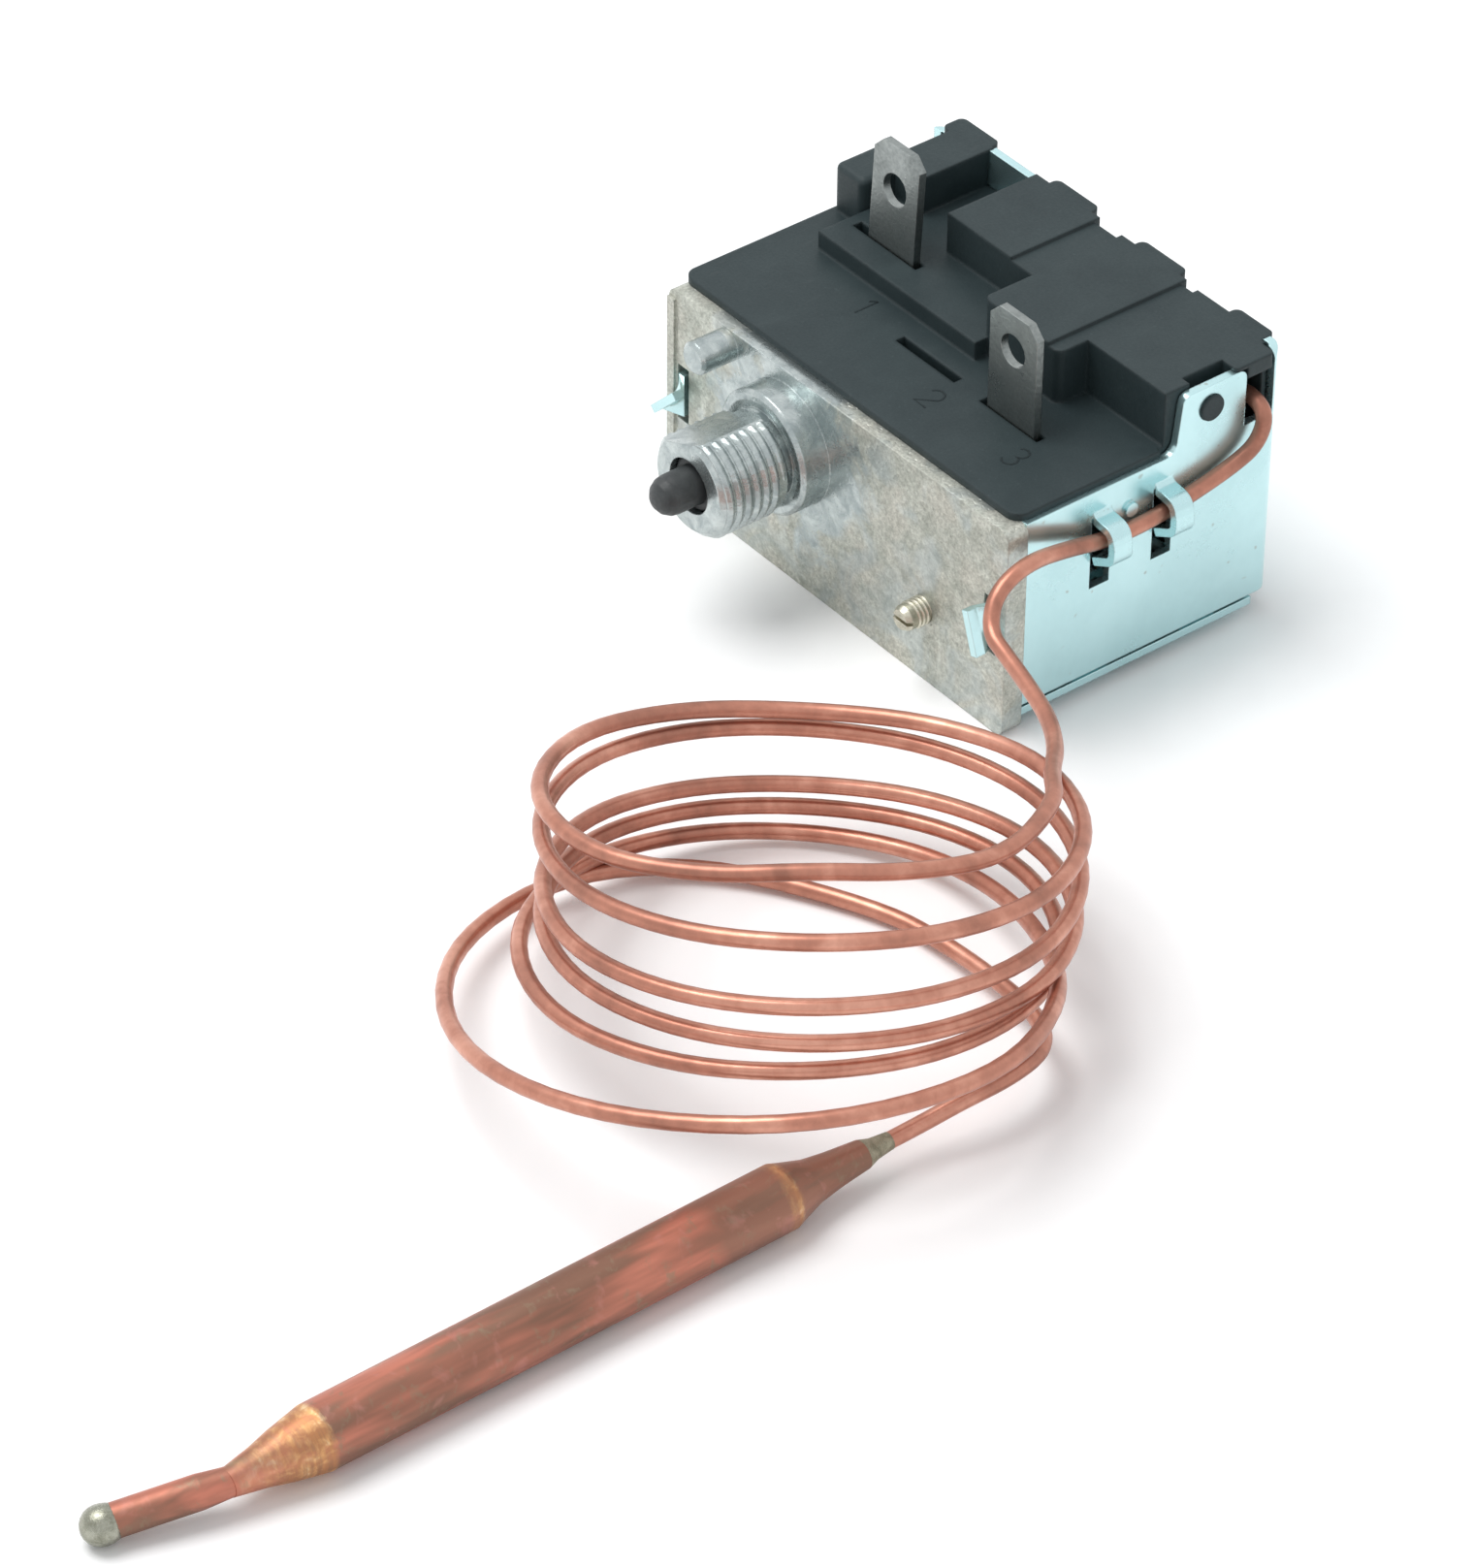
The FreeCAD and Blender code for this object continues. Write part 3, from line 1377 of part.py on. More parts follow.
def bulb_body():
    """The copper bulb: a drawn tube, necked down at both ends, with its filling tail."""
    last = bulb_neck_length + bulb_barrel
    profile = list(bulb_neck)
    profile += [(bulb_neck_length, bulb_radius), (last, bulb_radius)]
    profile += [(last + along, radius) for along, radius in bulb_end]
    profile.append((last + bulb_end_length, pinch_radius))
    body = turned(profile, point(bulb_x, bulb_start, bulb_radius), -Y)
    start, along = filling_tail()
    tail_outline = ((0.0, pinch_radius), (tail_swell, tail_radius), (along.Length, tail_radius))
    return joined([body, turned(tail_outline, start, along)])


def filling_tail():
    """Where the bent filling tail starts, and the way to its end."""
    start = point(bulb_x, bulb_pinch + tail_overlap, bulb_radius)
    return start, point(-tail_shift, -tail_length, -tail_drop)


def bulb_seal():
    """The bead of solder that closes the filling tail."""
    start, along = filling_tail()
    outline = [(seal_length * (1 - depth), share * seal_radius) for depth, share in crown_rings]
    return turned(outline[::-1], start + along, along)


def braze_collar():
    """The cone of braze between the bulb's neck and the capillary."""
    outline = (
        (0.0, bulb_neck_radius),
        (braze_waist, braze_waist_radius),
        (braze_length, capillary_radius + braze_lip),
    )
    cone = turned(outline, point(bulb_x, bulb_start, bulb_radius), Y)
    start = point(bulb_x, braze_end - braze_waist, bulb_radius)
    return cone.cut(rod(start, Y, capillary_radius, braze_length))


def write(name, shape):
    moved = shape.copy()
    moved.translate(-origin)
    moved.exportStep(os.path.join("parts", name + ".step"))


os.makedirs("parts", exist_ok=True)
pieces = (
    front_plate, side_frame, base_plate, terminal_cover, terminal_tab_1, terminal_tab_3,
    terminal_rivet, fixed_contact, moving_contact, contact_arm, contact_pin, contact_spring,
    push_rod, reset_button, button_clip, spring_retainer, reset_spring, trip_lever, lever_pin,
    calibration_screw, spring_nut, range_spring, diaphragm_capsule, capsule_cup, thrust_pin,
    capillary_lead, capillary_coil, capillary_tail, bulb_body, bulb_seal, braze_collar,
)
for piece in pieces:
    write(piece.__name__, piece())
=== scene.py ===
import math

import bpy
from mathutils import Matrix, Vector


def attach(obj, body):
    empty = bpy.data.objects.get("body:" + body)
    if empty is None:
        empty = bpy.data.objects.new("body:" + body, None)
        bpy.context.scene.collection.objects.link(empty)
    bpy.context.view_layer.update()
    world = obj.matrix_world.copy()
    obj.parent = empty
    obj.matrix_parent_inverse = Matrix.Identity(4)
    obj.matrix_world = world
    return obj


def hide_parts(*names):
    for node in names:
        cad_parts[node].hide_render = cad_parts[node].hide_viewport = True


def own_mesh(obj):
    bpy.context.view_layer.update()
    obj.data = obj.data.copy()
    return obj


# Safety limiter with a copper bulb: looks, cord, lights and camera.
# Places are given in millimetres from the front plate's lower left front corner, as the
# sizes of the solids are, and turned into metres in the part's own frame by at().
CORNER = Vector((-25.125, -8.45, 0.0))
MM = 0.001

# Camera: angles in degrees, shift in millimetres, focal length and height of the photograph in
# its pixels
CAMERA_HEADING = 51.581
CAMERA_HEIGHT = 38.424
CAMERA_ROLL = -0.5455
CAMERA_SHIFT = Vector((-6.1817, -27.3817, 664.2636))
CAMERA_FOCAL = 7502.5
PICTURE_HEIGHT = 1617
SENSOR = 36.0

# Studio: the sky's strength as a light and its colour, the lamp in metres and watts, the floor
# in metres
SKY = 0.68
SKY_COLOUR = (0.97, 0.985, 1.0, 1.0)
LAMP_PLACE = (-0.35, -0.29, 1.05)
LAMP_TARGET = (0.02, -0.03, 0.0)
LAMP_SIZE = 0.8
LAMP_POWER = 8.0
FLOOR_REACH = 3.0
FLOOR_DROP = 0.00002

# Capillary: where it leaves the housing, and its way to the coil
CAPILLARY_RADIUS = 0.75
STUB_END = (40.70, 27.90, 18.74)
LEAD_ROUTE = (
    (42.50, 27.9, 21.86),
    (45.30, 28.2, 24.2),
    (48.70, 28.2, 23.5),
    (48.50, 27.5, 20.2),
    (48.15, 24.7, 18.7),
    (48.15, 20.3, 17.8),
    (48.15, 15.4, 17.0),
    (48.15, 10.9, 17.1),
    (48.75, 5.5, 18.8),
    (49.60, 0.3, 20.2),
    (50.10, -3.6, 19.0),
    (51.60, -5.4, 16.6),
    (54.70, -6.0, 16.2),
    (59.30, -7.3, 16.2),
    (63.90, -9.0, 16.5),
    (68.00, -11.7, 17.1),
    (71.80, -15.6, 18.9),
)

# Coil: where its middle is as the camera sees it, and each turn's reach from there and height
# at its right side, front, left side and back
COIL_HEADING = 51.58
COIL_RIGHT = 12.5
COIL_TOWARD = 71.5
COIL_STEPS = 3
COIL_TURNS = (
    ((20.2, 20.3), (14.6, 24.6), (23.2, 20.6), (21.4, 13.0)),
    ((23.3, 17.8), (22.0, 23.0), (22.9, 17.6), (21.5, 11.2)),
    ((23.2, 13.2), (22.7, 16.8), (22.8, 11.8), (21.1, 5.4)),
    ((22.9, 9.0), (22.6, 12.9), (22.9, 8.8), (21.0, 3.1)),
    ((21.6, 6.4), (22.8, 10.2), (25.0, 5.4), (19.9, 1.1)),
    ((19.6, 6.0), (34.9, 14.9), (30.6, 3.6), (12.4, 0.85)),
)

# The capillary's way from the coil to the bulb
TAIL_ROUTE = (
    (60.2, -23.7, 0.9),
    (67.9, -22.6, 1.3),
    (75.8, -22.8, 2.0),
    (81.4, -23.9, 2.8),
    (85.0, -26.6, 3.5),
    (86.3, -31.4, 4.0),
    (86.1, -36.4, 3.9),
    (85.4, -40.3, 2.9),
    (85.4, -43.4, 2.9),
)

# Metal pieces: how deep their grain is, and how far their edges are worn round
METAL_GRAIN = 0.05
METAL_EDGE = 0.12

# Casting: how far from the bush's middle the smooth skin ends and is full, how ragged its edge
# is, and where along Y it takes over on what stands proud
SMOOTH_REACH = (19.0, 16.5)
SMOOTH_RAGGED = 16.0
PROUD = (-0.3, -0.8)

# Bulb: between which places along Y it turns browner towards the neck, and how uneven that is
NECK_BROWN = (-64.5, -62.0)
NECK_RAGGED = 6.0

# Gold bands of the bulb: start and end along Y, how soft the end is and how strong each is, how
# soft the start is, and how uneven both are
GOLD_BANDS = ((-54.3, -55.4, 0.4, 0.6), (-100.2, -105.5, 3.5, 1.0))
GOLD_EDGE = 0.2
GOLD_RAGGED = 0.9

# Threads: steps in a turn, the part of a turn in which the ridge rises at its ends, and the
# ridge's profile as shares of the pitch and of its height
THREAD_STEPS = 40
THREAD_SUNK = 0.04
THREAD_RUN_OUT = 0.25
THREAD_RIDGE = ((-0.48, 0.0), (-0.07, 1.0), (0.07, 1.0), (0.48, 0.0))
BUSH_MIDDLE = (17.15, 14.6)
BUSH_THREAD = dict(radius=5.0, pitch=1.0, height=0.30, length=6.3)
BUSH_THREAD_START = -4.2
BUSH_FLAT = (4.05, 112.0)
SCREW_MIDDLE = (36.4, 7.5)
SCREW_THREAD = dict(radius=1.25, pitch=0.45, height=0.12, length=1.7)
SCREW_THREAD_START = 0.1

# Solder drop at the end of the bulb's filling tail, as places along it and radii
BEAD_MIDDLE = (82.5, -117.6, 1.86)
TAIL_WAY = (-2.9, -9.5, -1.0)
BEAD_STEPS = 24
BEAD_PROFILE = (
    (-0.45, 1.44), (-0.15, 1.56), (0.25, 1.66), (0.75, 1.69), (1.25, 1.60), (1.7, 1.38), (2.05, 1.04),
    (2.28, 0.64), (2.38, 0.25),
)

# Digits moulded on the cover's deck: their size, the ribbon they are drawn with, and their lower
# left corners
DECK_TOP = 22.7
DIGIT_HEIGHT = 2.7
DIGIT_WIDTH = 0.16
DIGIT_RISE = 0.03
DIGIT_STEPS = 8
DIGIT_PROFILE = (
    (-DIGIT_WIDTH, -DIGIT_RISE), (-DIGIT_WIDTH / 2, DIGIT_RISE),
    (DIGIT_WIDTH / 2, DIGIT_RISE), (DIGIT_WIDTH, -DIGIT_RISE),
)
DIGITS = ((1, (13.4, 9.8)), (2, (27.6, 5.6)), (3, (38.9, 5.9)))


def at(x, y, z):
    """A place in metres in the part's frame."""
    return (Vector((x, y, z)) + CORNER) * MM


# Materials


class Surface:
    """A node material that is put together step by step."""

    def __init__(self, name):
        self.material = bpy.data.materials.new(name)
        self.material.use_nodes = True
        self.tree = self.material.node_tree
        self.tree.nodes.clear()
        self.place = self.add("ShaderNodeTexCoord").outputs["Object"]

    def add(self, kind, **settings):
        node = self.tree.nodes.new(kind)
        for name, value in settings.items():
            setattr(node, name, value)
        return node

    def link(self, source, socket):
        """A number, a colour or another node's output into a socket."""
        if isinstance(source, (int, float)):
            socket.default_value = source
        elif isinstance(source, (tuple, list)):
            socket.default_value = (*source, 1.0)
        else:
            self.tree.links.new(source, socket)

    def stretched(self, scale, turn=(0.0, 0.0, 0.0)):
        """The place, stretched along the axes and turned."""
        mapping = self.add("ShaderNodeMapping")
        mapping.inputs["Scale"].default_value = scale
        mapping.inputs["Rotation"].default_value = turn
        self.tree.links.new(self.place, mapping.inputs["Vector"])
        return mapping.outputs["Vector"]

    def noise(self, size, detail, rough, distortion=0.0, place=None):
        """Noise whose blotches are about size millimetres across."""
        noise = self.add("ShaderNodeTexNoise")
        noise.inputs["Scale"].default_value = 1.0 / (size * MM)
        noise.inputs["Detail"].default_value = detail
        noise.inputs["Roughness"].default_value = rough
        noise.inputs["Distortion"].default_value = distortion
        self.tree.links.new(place or self.place, noise.inputs["Vector"])
        return noise.outputs["Fac"]

    def ramp(self, factor, *stops):
        """A colour that runs through the stops, each a place and a colour."""
        ramp = self.add("ShaderNodeValToRGB")
        elements = ramp.color_ramp.elements
        while len(elements) < len(stops):
            elements.new(0.5)
        for element, (place, colour) in zip(elements, stops):
            element.position = place
            element.color = (*colour, 1.0)
        self.tree.links.new(factor, ramp.inputs["Fac"])
        return ramp.outputs["Color"]

    def spread(self, value, low, high, to_low=0.0, to_high=1.0):
        """The value's range from low to high, stretched and clamped to another range."""
        node = self.add("ShaderNodeMapRange")
        for socket, number in zip(node.inputs[1:5], (low, high, to_low, to_high)):
            socket.default_value = number
        self.tree.links.new(value, node.inputs["Value"])
        return node.outputs["Result"]

    def mix(self, factor, first, second, blend="MIX"):
        node = self.add("ShaderNodeMix", data_type="RGBA", blend_type=blend)
        self.link(factor, node.inputs["Factor"])
        self.link(first, node.inputs["A"])
        self.link(second, node.inputs["B"])
        return node.outputs["Result"]

    def sum(self, kind, first, second=0.0, third=0.0):
        """One step of arithmetic."""
        node = self.add("ShaderNodeMath", operation=kind)
        for socket, value in zip(node.inputs, (first, second, third)):
            self.link(value, socket)
        return node.outputs["Value"]

    def axes(self):
        node = self.add("ShaderNodeSeparateXYZ")
        self.tree.links.new(self.place, node.inputs["Vector"])
        return node.outputs

    def bump(self, height, distance, strength, before=None):
        node = self.add("ShaderNodeBump")
        node.inputs["Strength"].default_value = strength
        node.inputs["Distance"].default_value = distance * MM
        self.tree.links.new(height, node.inputs["Height"])
        if before is not None:
            self.tree.links.new(before, node.inputs["Normal"])
        return node.outputs["Normal"]

    def rounded(self, radius):
        """The normal of edges worn round."""
        node = self.add("ShaderNodeBevel", samples=4)
        node.inputs["Radius"].default_value = radius * MM
        return node.outputs["Normal"]

    def finish(self, colour, rough, metal, normal, **constants):
        shader = self.add("ShaderNodeBsdfPrincipled")
        self.link(colour, shader.inputs["Base Color"])
        self.link(rough, shader.inputs["Roughness"])
        self.link(metal, shader.inputs["Metallic"])
        self.tree.links.new(normal, shader.inputs["Normal"])
        for name, value in constants.items():
            shader.inputs[name.replace("_", " ")].default_value = value
        output = self.add("ShaderNodeOutputMaterial")
        self.tree.links.new(shader.outputs["BSDF"], output.inputs["Surface"])
        return self.material


def worn_metal(name, dark, light, rough, blotch, metal=1.0, scratch=True):
    """Metal with soft blotches, fine grain and a few scratches."""
    surface = Surface(name)
    patches = surface.noise(blotch, 4.0, 0.6, 0.6)
    fine = surface.noise(blotch * 0.12, 3.0, 0.6)
    blend = surface.sum("MULTIPLY_ADD", fine, 0.35, surface.sum("MULTIPLY", patches, 0.65))
    colour = surface.ramp(blend, (0.36, dark), (0.62, light))
    roughness = surface.spread(blend, 0.35, 0.65, rough + 0.09, rough - 0.07)
    normal = surface.bump(fine, METAL_GRAIN, 0.5, surface.rounded(METAL_EDGE))
    if scratch:
        lines = surface.noise(1.0, 2.0, 0.5, 0.0, surface.stretched((6.0, 0.35, 6.0), (0.3, 0.2, 0.5)))
        marks = surface.spread(lines, 0.66, 0.72)
        roughness = surface.sum("MULTIPLY_ADD", marks, 0.12, roughness)
        normal = surface.bump(marks, 0.01, 0.4, normal)
    return surface.finish(colour, roughness, metal, normal)


def casting_material():
    """Zinc die casting: a speckled skin, smooth and bluish round the bush and on what stands proud."""
    surface = Surface("casting_skin")
    across, along, height = surface.axes()
    sideways = surface.sum("SUBTRACT", across, (BUSH_MIDDLE[0] + CORNER.x) * MM)
    upward = surface.sum("SUBTRACT", height, (BUSH_MIDDLE[1] + CORNER.z) * MM)
    reach = surface.sum("MULTIPLY_ADD", sideways, sideways, surface.sum("MULTIPLY", upward, upward))
    reach = surface.sum("SQRT", reach)
    ragged = surface.sum("MULTIPLY_ADD", surface.noise(5.0, 4.0, 0.6, 1.0), SMOOTH_RAGGED * MM, reach)
    near_bush = surface.spread(ragged, *(far * MM for far in SMOOTH_REACH))
    proud = surface.spread(along, *((CORNER.y + far) * MM for far in PROUD))
    flow = surface.sum("MULTIPLY", surface.spread(surface.noise(7.0, 3.0, 0.5, 1.5), 0.50, 0.64), 0.6)
    smooth = surface.sum("MAXIMUM", surface.sum("MAXIMUM", near_bush, proud), flow)
    clouds = surface.noise(1.8, 5.0, 0.7, 0.6)
    grit = surface.noise(0.32, 4.0, 0.75)
    pits = surface.spread(surface.noise(0.45, 2.0, 0.5), 0.60, 0.72)
    warm = surface.spread(surface.noise(3.5, 2.0, 0.5), 0.45, 0.65)
    rough_skin = surface.ramp(clouds, (0.34, (0.42, 0.435, 0.39)), (0.66, (0.62, 0.635, 0.58)))
    rough_skin = surface.mix(surface.sum("MULTIPLY", warm, 0.35), rough_skin, (0.58, 0.54, 0.48))
    smooth_skin = surface.ramp(clouds, (0.34, (0.33, 0.38, 0.385)), (0.66, (0.57, 0.62, 0.61)))
    colour = surface.mix(smooth, rough_skin, smooth_skin)
    speckled = surface.ramp(grit, (0.38, (0.74, 0.74, 0.72)), (0.62, (1.16, 1.16, 1.14)))
    speckle = surface.sum("MULTIPLY_ADD", smooth, -0.75, 0.9)
    colour = surface.mix(speckle, colour, surface.mix(1.0, colour, speckled, "MULTIPLY"))
    roughness = surface.sum("MULTIPLY_ADD", smooth, -0.24, surface.spread(clouds, 0.35, 0.65, 0.56, 0.44))
    relief = surface.sum("MULTIPLY_ADD", grit, 0.5, surface.sum("MULTIPLY", clouds, 0.5))
    relief = surface.sum("MULTIPLY_ADD", pits, -0.6, relief)
    relief = surface.sum("MULTIPLY", relief, surface.sum("MULTIPLY_ADD", smooth, -0.75, 1.0))
    normal = surface.bump(relief, 0.10, 0.75, surface.rounded(0.18))
    normal = surface.bump(surface.noise(2.4, 2.0, 0.5), 0.10, 0.5, normal)
    metal = surface.sum("MULTIPLY_ADD", smooth, 0.18, 0.72)
    return surface.finish(colour, roughness, metal, normal)


def zinc_plate_material():
    """Bright zinc plating, pale blue, with faint roller lines and a few brown specks."""
    surface = Surface("zinc_plated_sheet")
    patches = surface.noise(11.0, 3.0, 0.5, 0.3)
    fine = surface.noise(0.8, 3.0, 0.6)
    lines = surface.noise(0.5, 3.0, 0.5, 0.0, surface.stretched((1.0, 1.0, 0.04)))
    blend = surface.sum("MULTIPLY_ADD", fine, 0.22, surface.sum("MULTIPLY", patches, 0.78))
    colour = surface.ramp(blend, (0.34, (0.53, 0.76, 0.78)), (0.66, (0.61, 0.85, 0.87)))
    specks = surface.spread(surface.noise(1.0, 1.0, 0.4), 0.74, 0.79)
    colour = surface.mix(surface.sum("MULTIPLY", specks, 0.45), colour, (0.34, 0.30, 0.24))
    roughness = surface.spread(blend, 0.35, 0.65, 0.30, 0.20)
    height = surface.sum("MULTIPLY_ADD", lines, 0.6, surface.sum("MULTIPLY", fine, 0.4))
    normal = surface.bump(height, 0.012, 0.5, surface.rounded(0.15))
    return surface.finish(colour, roughness, 0.88, normal)


def cover_material():
    """Dark slate moulding with a fine spark-eroded grain."""
    surface = Surface("dark_moulding")
    grain = surface.noise(0.28, 3.0, 0.6)
    clouds = surface.noise(5.0, 4.0, 0.6, 0.4)
    dust = surface.spread(surface.noise(0.5, 2.0, 0.6), 0.66, 0.76)
    colour = surface.ramp(clouds, (0.35, (0.020, 0.033, 0.036)), (0.65, (0.027, 0.042, 0.045)))
    colour = surface.mix(surface.sum("MULTIPLY", dust, 0.14), colour, (0.10, 0.13, 0.135))
    scuffs = surface.noise(0.7, 2.0, 0.5, 0.3, surface.stretched((1.0, 0.22, 1.0), (0.0, 0.0, 0.5)))
    marks = surface.spread(scuffs, 0.64, 0.76)
    roughness = surface.spread(grain, 0.3, 0.7, 0.44, 0.58)
    roughness = surface.sum("MULTIPLY_ADD", marks, -0.10, roughness)
    normal = surface.bump(grain, 0.03, 0.5, surface.rounded(0.45))
    return surface.finish(colour, roughness, 0.0, normal, Specular_IOR_Level=0.32)


def button_material():
    """Black moulding with a fine grain and paler clouds."""
    surface = Surface("black_button")
    grain = surface.noise(0.2, 3.0, 0.6)
    clouds = surface.noise(1.6, 3.0, 0.6, 0.5)
    colour = surface.ramp(clouds, (0.35, (0.026, 0.030, 0.031)), (0.7, (0.052, 0.057, 0.058)))
    roughness = surface.spread(grain, 0.3, 0.7, 0.42, 0.6)
    normal = surface.bump(grain, 0.03, 0.6, surface.rounded(0.1))
    return surface.finish(colour, roughness, 0.0, normal)


def copper_material():
    """Drawn copper tube: pinkish, with darker tarnish in long patches."""
    surface = Surface("drawn_copper")
    long_patches = surface.noise(12.0, 3.0, 0.55, 0.8)
    short = surface.noise(1.2, 3.0, 0.6, 0.3)
    blend = surface.sum("MULTIPLY_ADD", short, 0.22, surface.sum("MULTIPLY", long_patches, 0.78))
    dark, middle, light = (0.34, 0.15, 0.105), (0.53, 0.23, 0.16), (0.74, 0.37, 0.27)
    colour = surface.ramp(blend, (0.34, dark), (0.5, middle), (0.66, light))
    roughness = surface.spread(blend, 0.35, 0.65, 0.40, 0.28)
    normal = surface.bump(short, 0.02, 0.5)
    return surface.finish(colour, roughness, 0.75, normal)


def bulb_material():
    """Copper bulb: red and brown oxide in soft drawn-out patches, gold where it was heated."""
    surface = Surface("oxidised_copper")
    drawn_out = surface.stretched((1.0, 0.14, 1.0))
    bands = surface.noise(2.6, 3.0, 0.5, 0.15, drawn_out)
    patches = surface.noise(5.0, 4.0, 0.55, 0.3, drawn_out)
    fine = surface.noise(0.6, 4.0, 0.65)
    rings = surface.noise(0.5, 3.0, 0.6, 0.0, surface.stretched((0.08, 1.0, 0.08)))
    red = surface.ramp(bands, (0.36, (0.42, 0.13, 0.085)), (0.64, (0.60, 0.22, 0.15)))
    brown = surface.ramp(patches, (0.35, (0.20, 0.11, 0.075)), (0.65, (0.28, 0.165, 0.115)))
    oxide = surface.spread(surface.sum("ADD", bands, surface.sum("MULTIPLY", patches, 0.6)), 0.90, 0.68)
    along = surface.axes()[1]
    ragged = surface.sum("MULTIPLY_ADD", patches, NECK_RAGGED * MM, -NECK_RAGGED / 2 * MM)
    ragged = surface.sum("ADD", along, ragged)
    near_neck = surface.spread(ragged, *((CORNER.y + far) * MM for far in NECK_BROWN), 0.0, 0.75)
    browned = surface.sum("MAXIMUM", surface.sum("MULTIPLY", oxide, 0.9), near_neck)
    colour = surface.mix(browned, red, brown)
    olive = surface.spread(surface.noise(1.4, 3.0, 0.6, 0.4), 0.57, 0.70)
    colour = surface.mix(surface.sum("MULTIPLY", olive, 0.55), colour, (0.27, 0.21, 0.14))
    rosy = surface.spread(surface.noise(2.6, 3.0, 0.6, 0.5), 0.58, 0.70)
    colour = surface.mix(surface.sum("MULTIPLY", rosy, 0.4), colour, (0.56, 0.25, 0.21))
    uneven = surface.sum("MULTIPLY_ADD", fine, GOLD_RAGGED * MM, -GOLD_RAGGED / 2 * MM)
    uneven = surface.sum("ADD", along, uneven)
    gold = None
    for near, far, fade, share in GOLD_BANDS:
        start = (near + CORNER.y) * MM
        end = (far + CORNER.y) * MM
        rise = surface.spread(uneven, start + GOLD_EDGE * MM, start - GOLD_EDGE * MM, 0.0, share)
        fall = surface.spread(uneven, end - fade * MM, end + fade * MM)
        band = surface.sum("MULTIPLY", rise, fall)
        gold = band if gold is None else surface.sum("MAXIMUM", gold, band)
    gold = surface.sum("MULTIPLY", gold, surface.spread(rings, 0.40, 0.60, 0.55, 1.0))
    worn = surface.noise(1.3, 3.0, 0.6, 0.4)
    bronze, gold_tone, pale_gold = (0.50, 0.23, 0.10), (0.72, 0.40, 0.17), (0.86, 0.62, 0.36)
    gilt = surface.ramp(worn, (0.42, bronze), (0.58, gold_tone), (0.66, pale_gold))
    colour = surface.mix(gold, colour, gilt)
    roughness = surface.spread(bands, 0.35, 0.65, 0.50, 0.38)
    normal = surface.bump(bands, 0.03, 0.4, surface.bump(fine, 0.012, 0.5))
    return surface.finish(colour, roughness, 0.7, normal)


def floor_material():
    """Pale paper, shown white where nothing shades it."""
    surface = Surface("studio_floor")
    fibre = surface.noise(3.0, 3.0, 0.6)
    pale = surface.ramp(fibre, (0.3, (0.80, 0.81, 0.81)), (0.7, (0.82, 0.83, 0.83)))
    white = surface.ramp(fibre, (0.3, (1.02, 1.02, 1.02)), (0.7, (1.04, 1.04, 1.04)))
    path = surface.add("ShaderNodeLightPath")
    seen = surface.sum("MAXIMUM", path.outputs["Is Camera Ray"], path.outputs["Is Glossy Ray"])
    seen = surface.sum("MAXIMUM", seen, path.outputs["Is Transmission Ray"])
    colour = surface.mix(seen, pale, white)
    return surface.finish(colour, 0.9, 0.0, surface.bump(fibre, 0.01, 0.1), Specular_IOR_Level=0.0)


def dress(material, *names):
    """Nodes of the frame take on a material."""
    for name in names:
        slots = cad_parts[name].material_slots
        if not slots:
            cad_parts[name].data.materials.append(material)
        for entry in slots:
            entry.material = material


# Capillary


def smooth_between(before, near, far, after, share):
    """A value between near and far on a smooth curve through all four."""
    bend = 2 * before - 5 * near + 4 * far - after
    twist = 3 * (near - far) + after - before
    return near + 0.5 * share * (far - before + share * (bend + share * twist))


def coil_points():
    """The turns of the coil, from its right side round the front to the back of the last."""
    heading = math.radians(COIL_HEADING)
    right = Vector((math.cos(heading), math.sin(heading), 0))
    toward = Vector((math.sin(heading), -math.cos(heading), 0))
    middle = right * COIL_RIGHT + toward * COIL_TOWARD
    quarters = [quarter for turn in COIL_TURNS for quarter in turn]
    places = []
    last = len(quarters) - 1
    for index in range(last):
        around = [quarters[min(max(index + step, 0), last)] for step in (-1, 0, 1, 2)]
        radii, heights = zip(*around)
        for step in range(COIL_STEPS):
            share = step / COIL_STEPS
            angle = (index + share) * math.pi / 2
            radius = smooth_between(*radii, share)
            height = smooth_between(*heights, share)
            outward = right * math.cos(angle) + toward * math.sin(angle)
            spot = middle + outward * radius + Vector((0, 0, height))
            places.append(tuple(spot))
    return places


def capillary(*pieces):
    """The copper tube from the housing by the coil to the bulb, as one curve."""
    route = (STUB_END,) + LEAD_ROUTE + tuple(coil_points()) + TAIL_ROUTE
    curve = bpy.data.curves.new("capillary", "CURVE")
    curve.dimensions = "3D"
    curve.bevel_depth = CAPILLARY_RADIUS * MM
    curve.bevel_resolution = 5
    curve.resolution_u = 6
    curve.use_fill_caps = True
    spline = curve.splines.new("NURBS")
    spline.points.add(len(route) - 1)
    for spot, place in zip(spline.points, route):
        spot.co = (*at(*place), 1.0)
    spline.order_u = 3
    spline.use_endpoint_u = True
    tube = bpy.data.objects.new("capillary", curve)
    bpy.context.scene.collection.objects.link(tube)
    tube.data.materials.append(copper_material())
    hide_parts("capillary_lead", "capillary_coil", "capillary_tail")
    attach(tube, "housing")


# Threads, solder drop and moulded digits


def mesh_piece(name, places, count, material):
    """A piece of the housing: rings of count places in millimetres, closed at both ends."""
    last = len(places) - count
    faces = [tuple(range(count)), tuple(reversed(range(last, len(places))))]
    for first in range(0, last, count):
        for step in range(count):
            after = (step + 1) % count
            faces.append((first + step, first + count + step, first + count + after, first + after))
    mesh = bpy.data.meshes.new(name)
    mesh.from_pydata([at(*place) for place in places], [], faces)
    mesh.update()
    piece = bpy.data.objects.new(name, mesh)
    bpy.context.scene.collection.objects.link(piece)
    mesh.materials.append(material)
    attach(piece, "housing")
    return piece


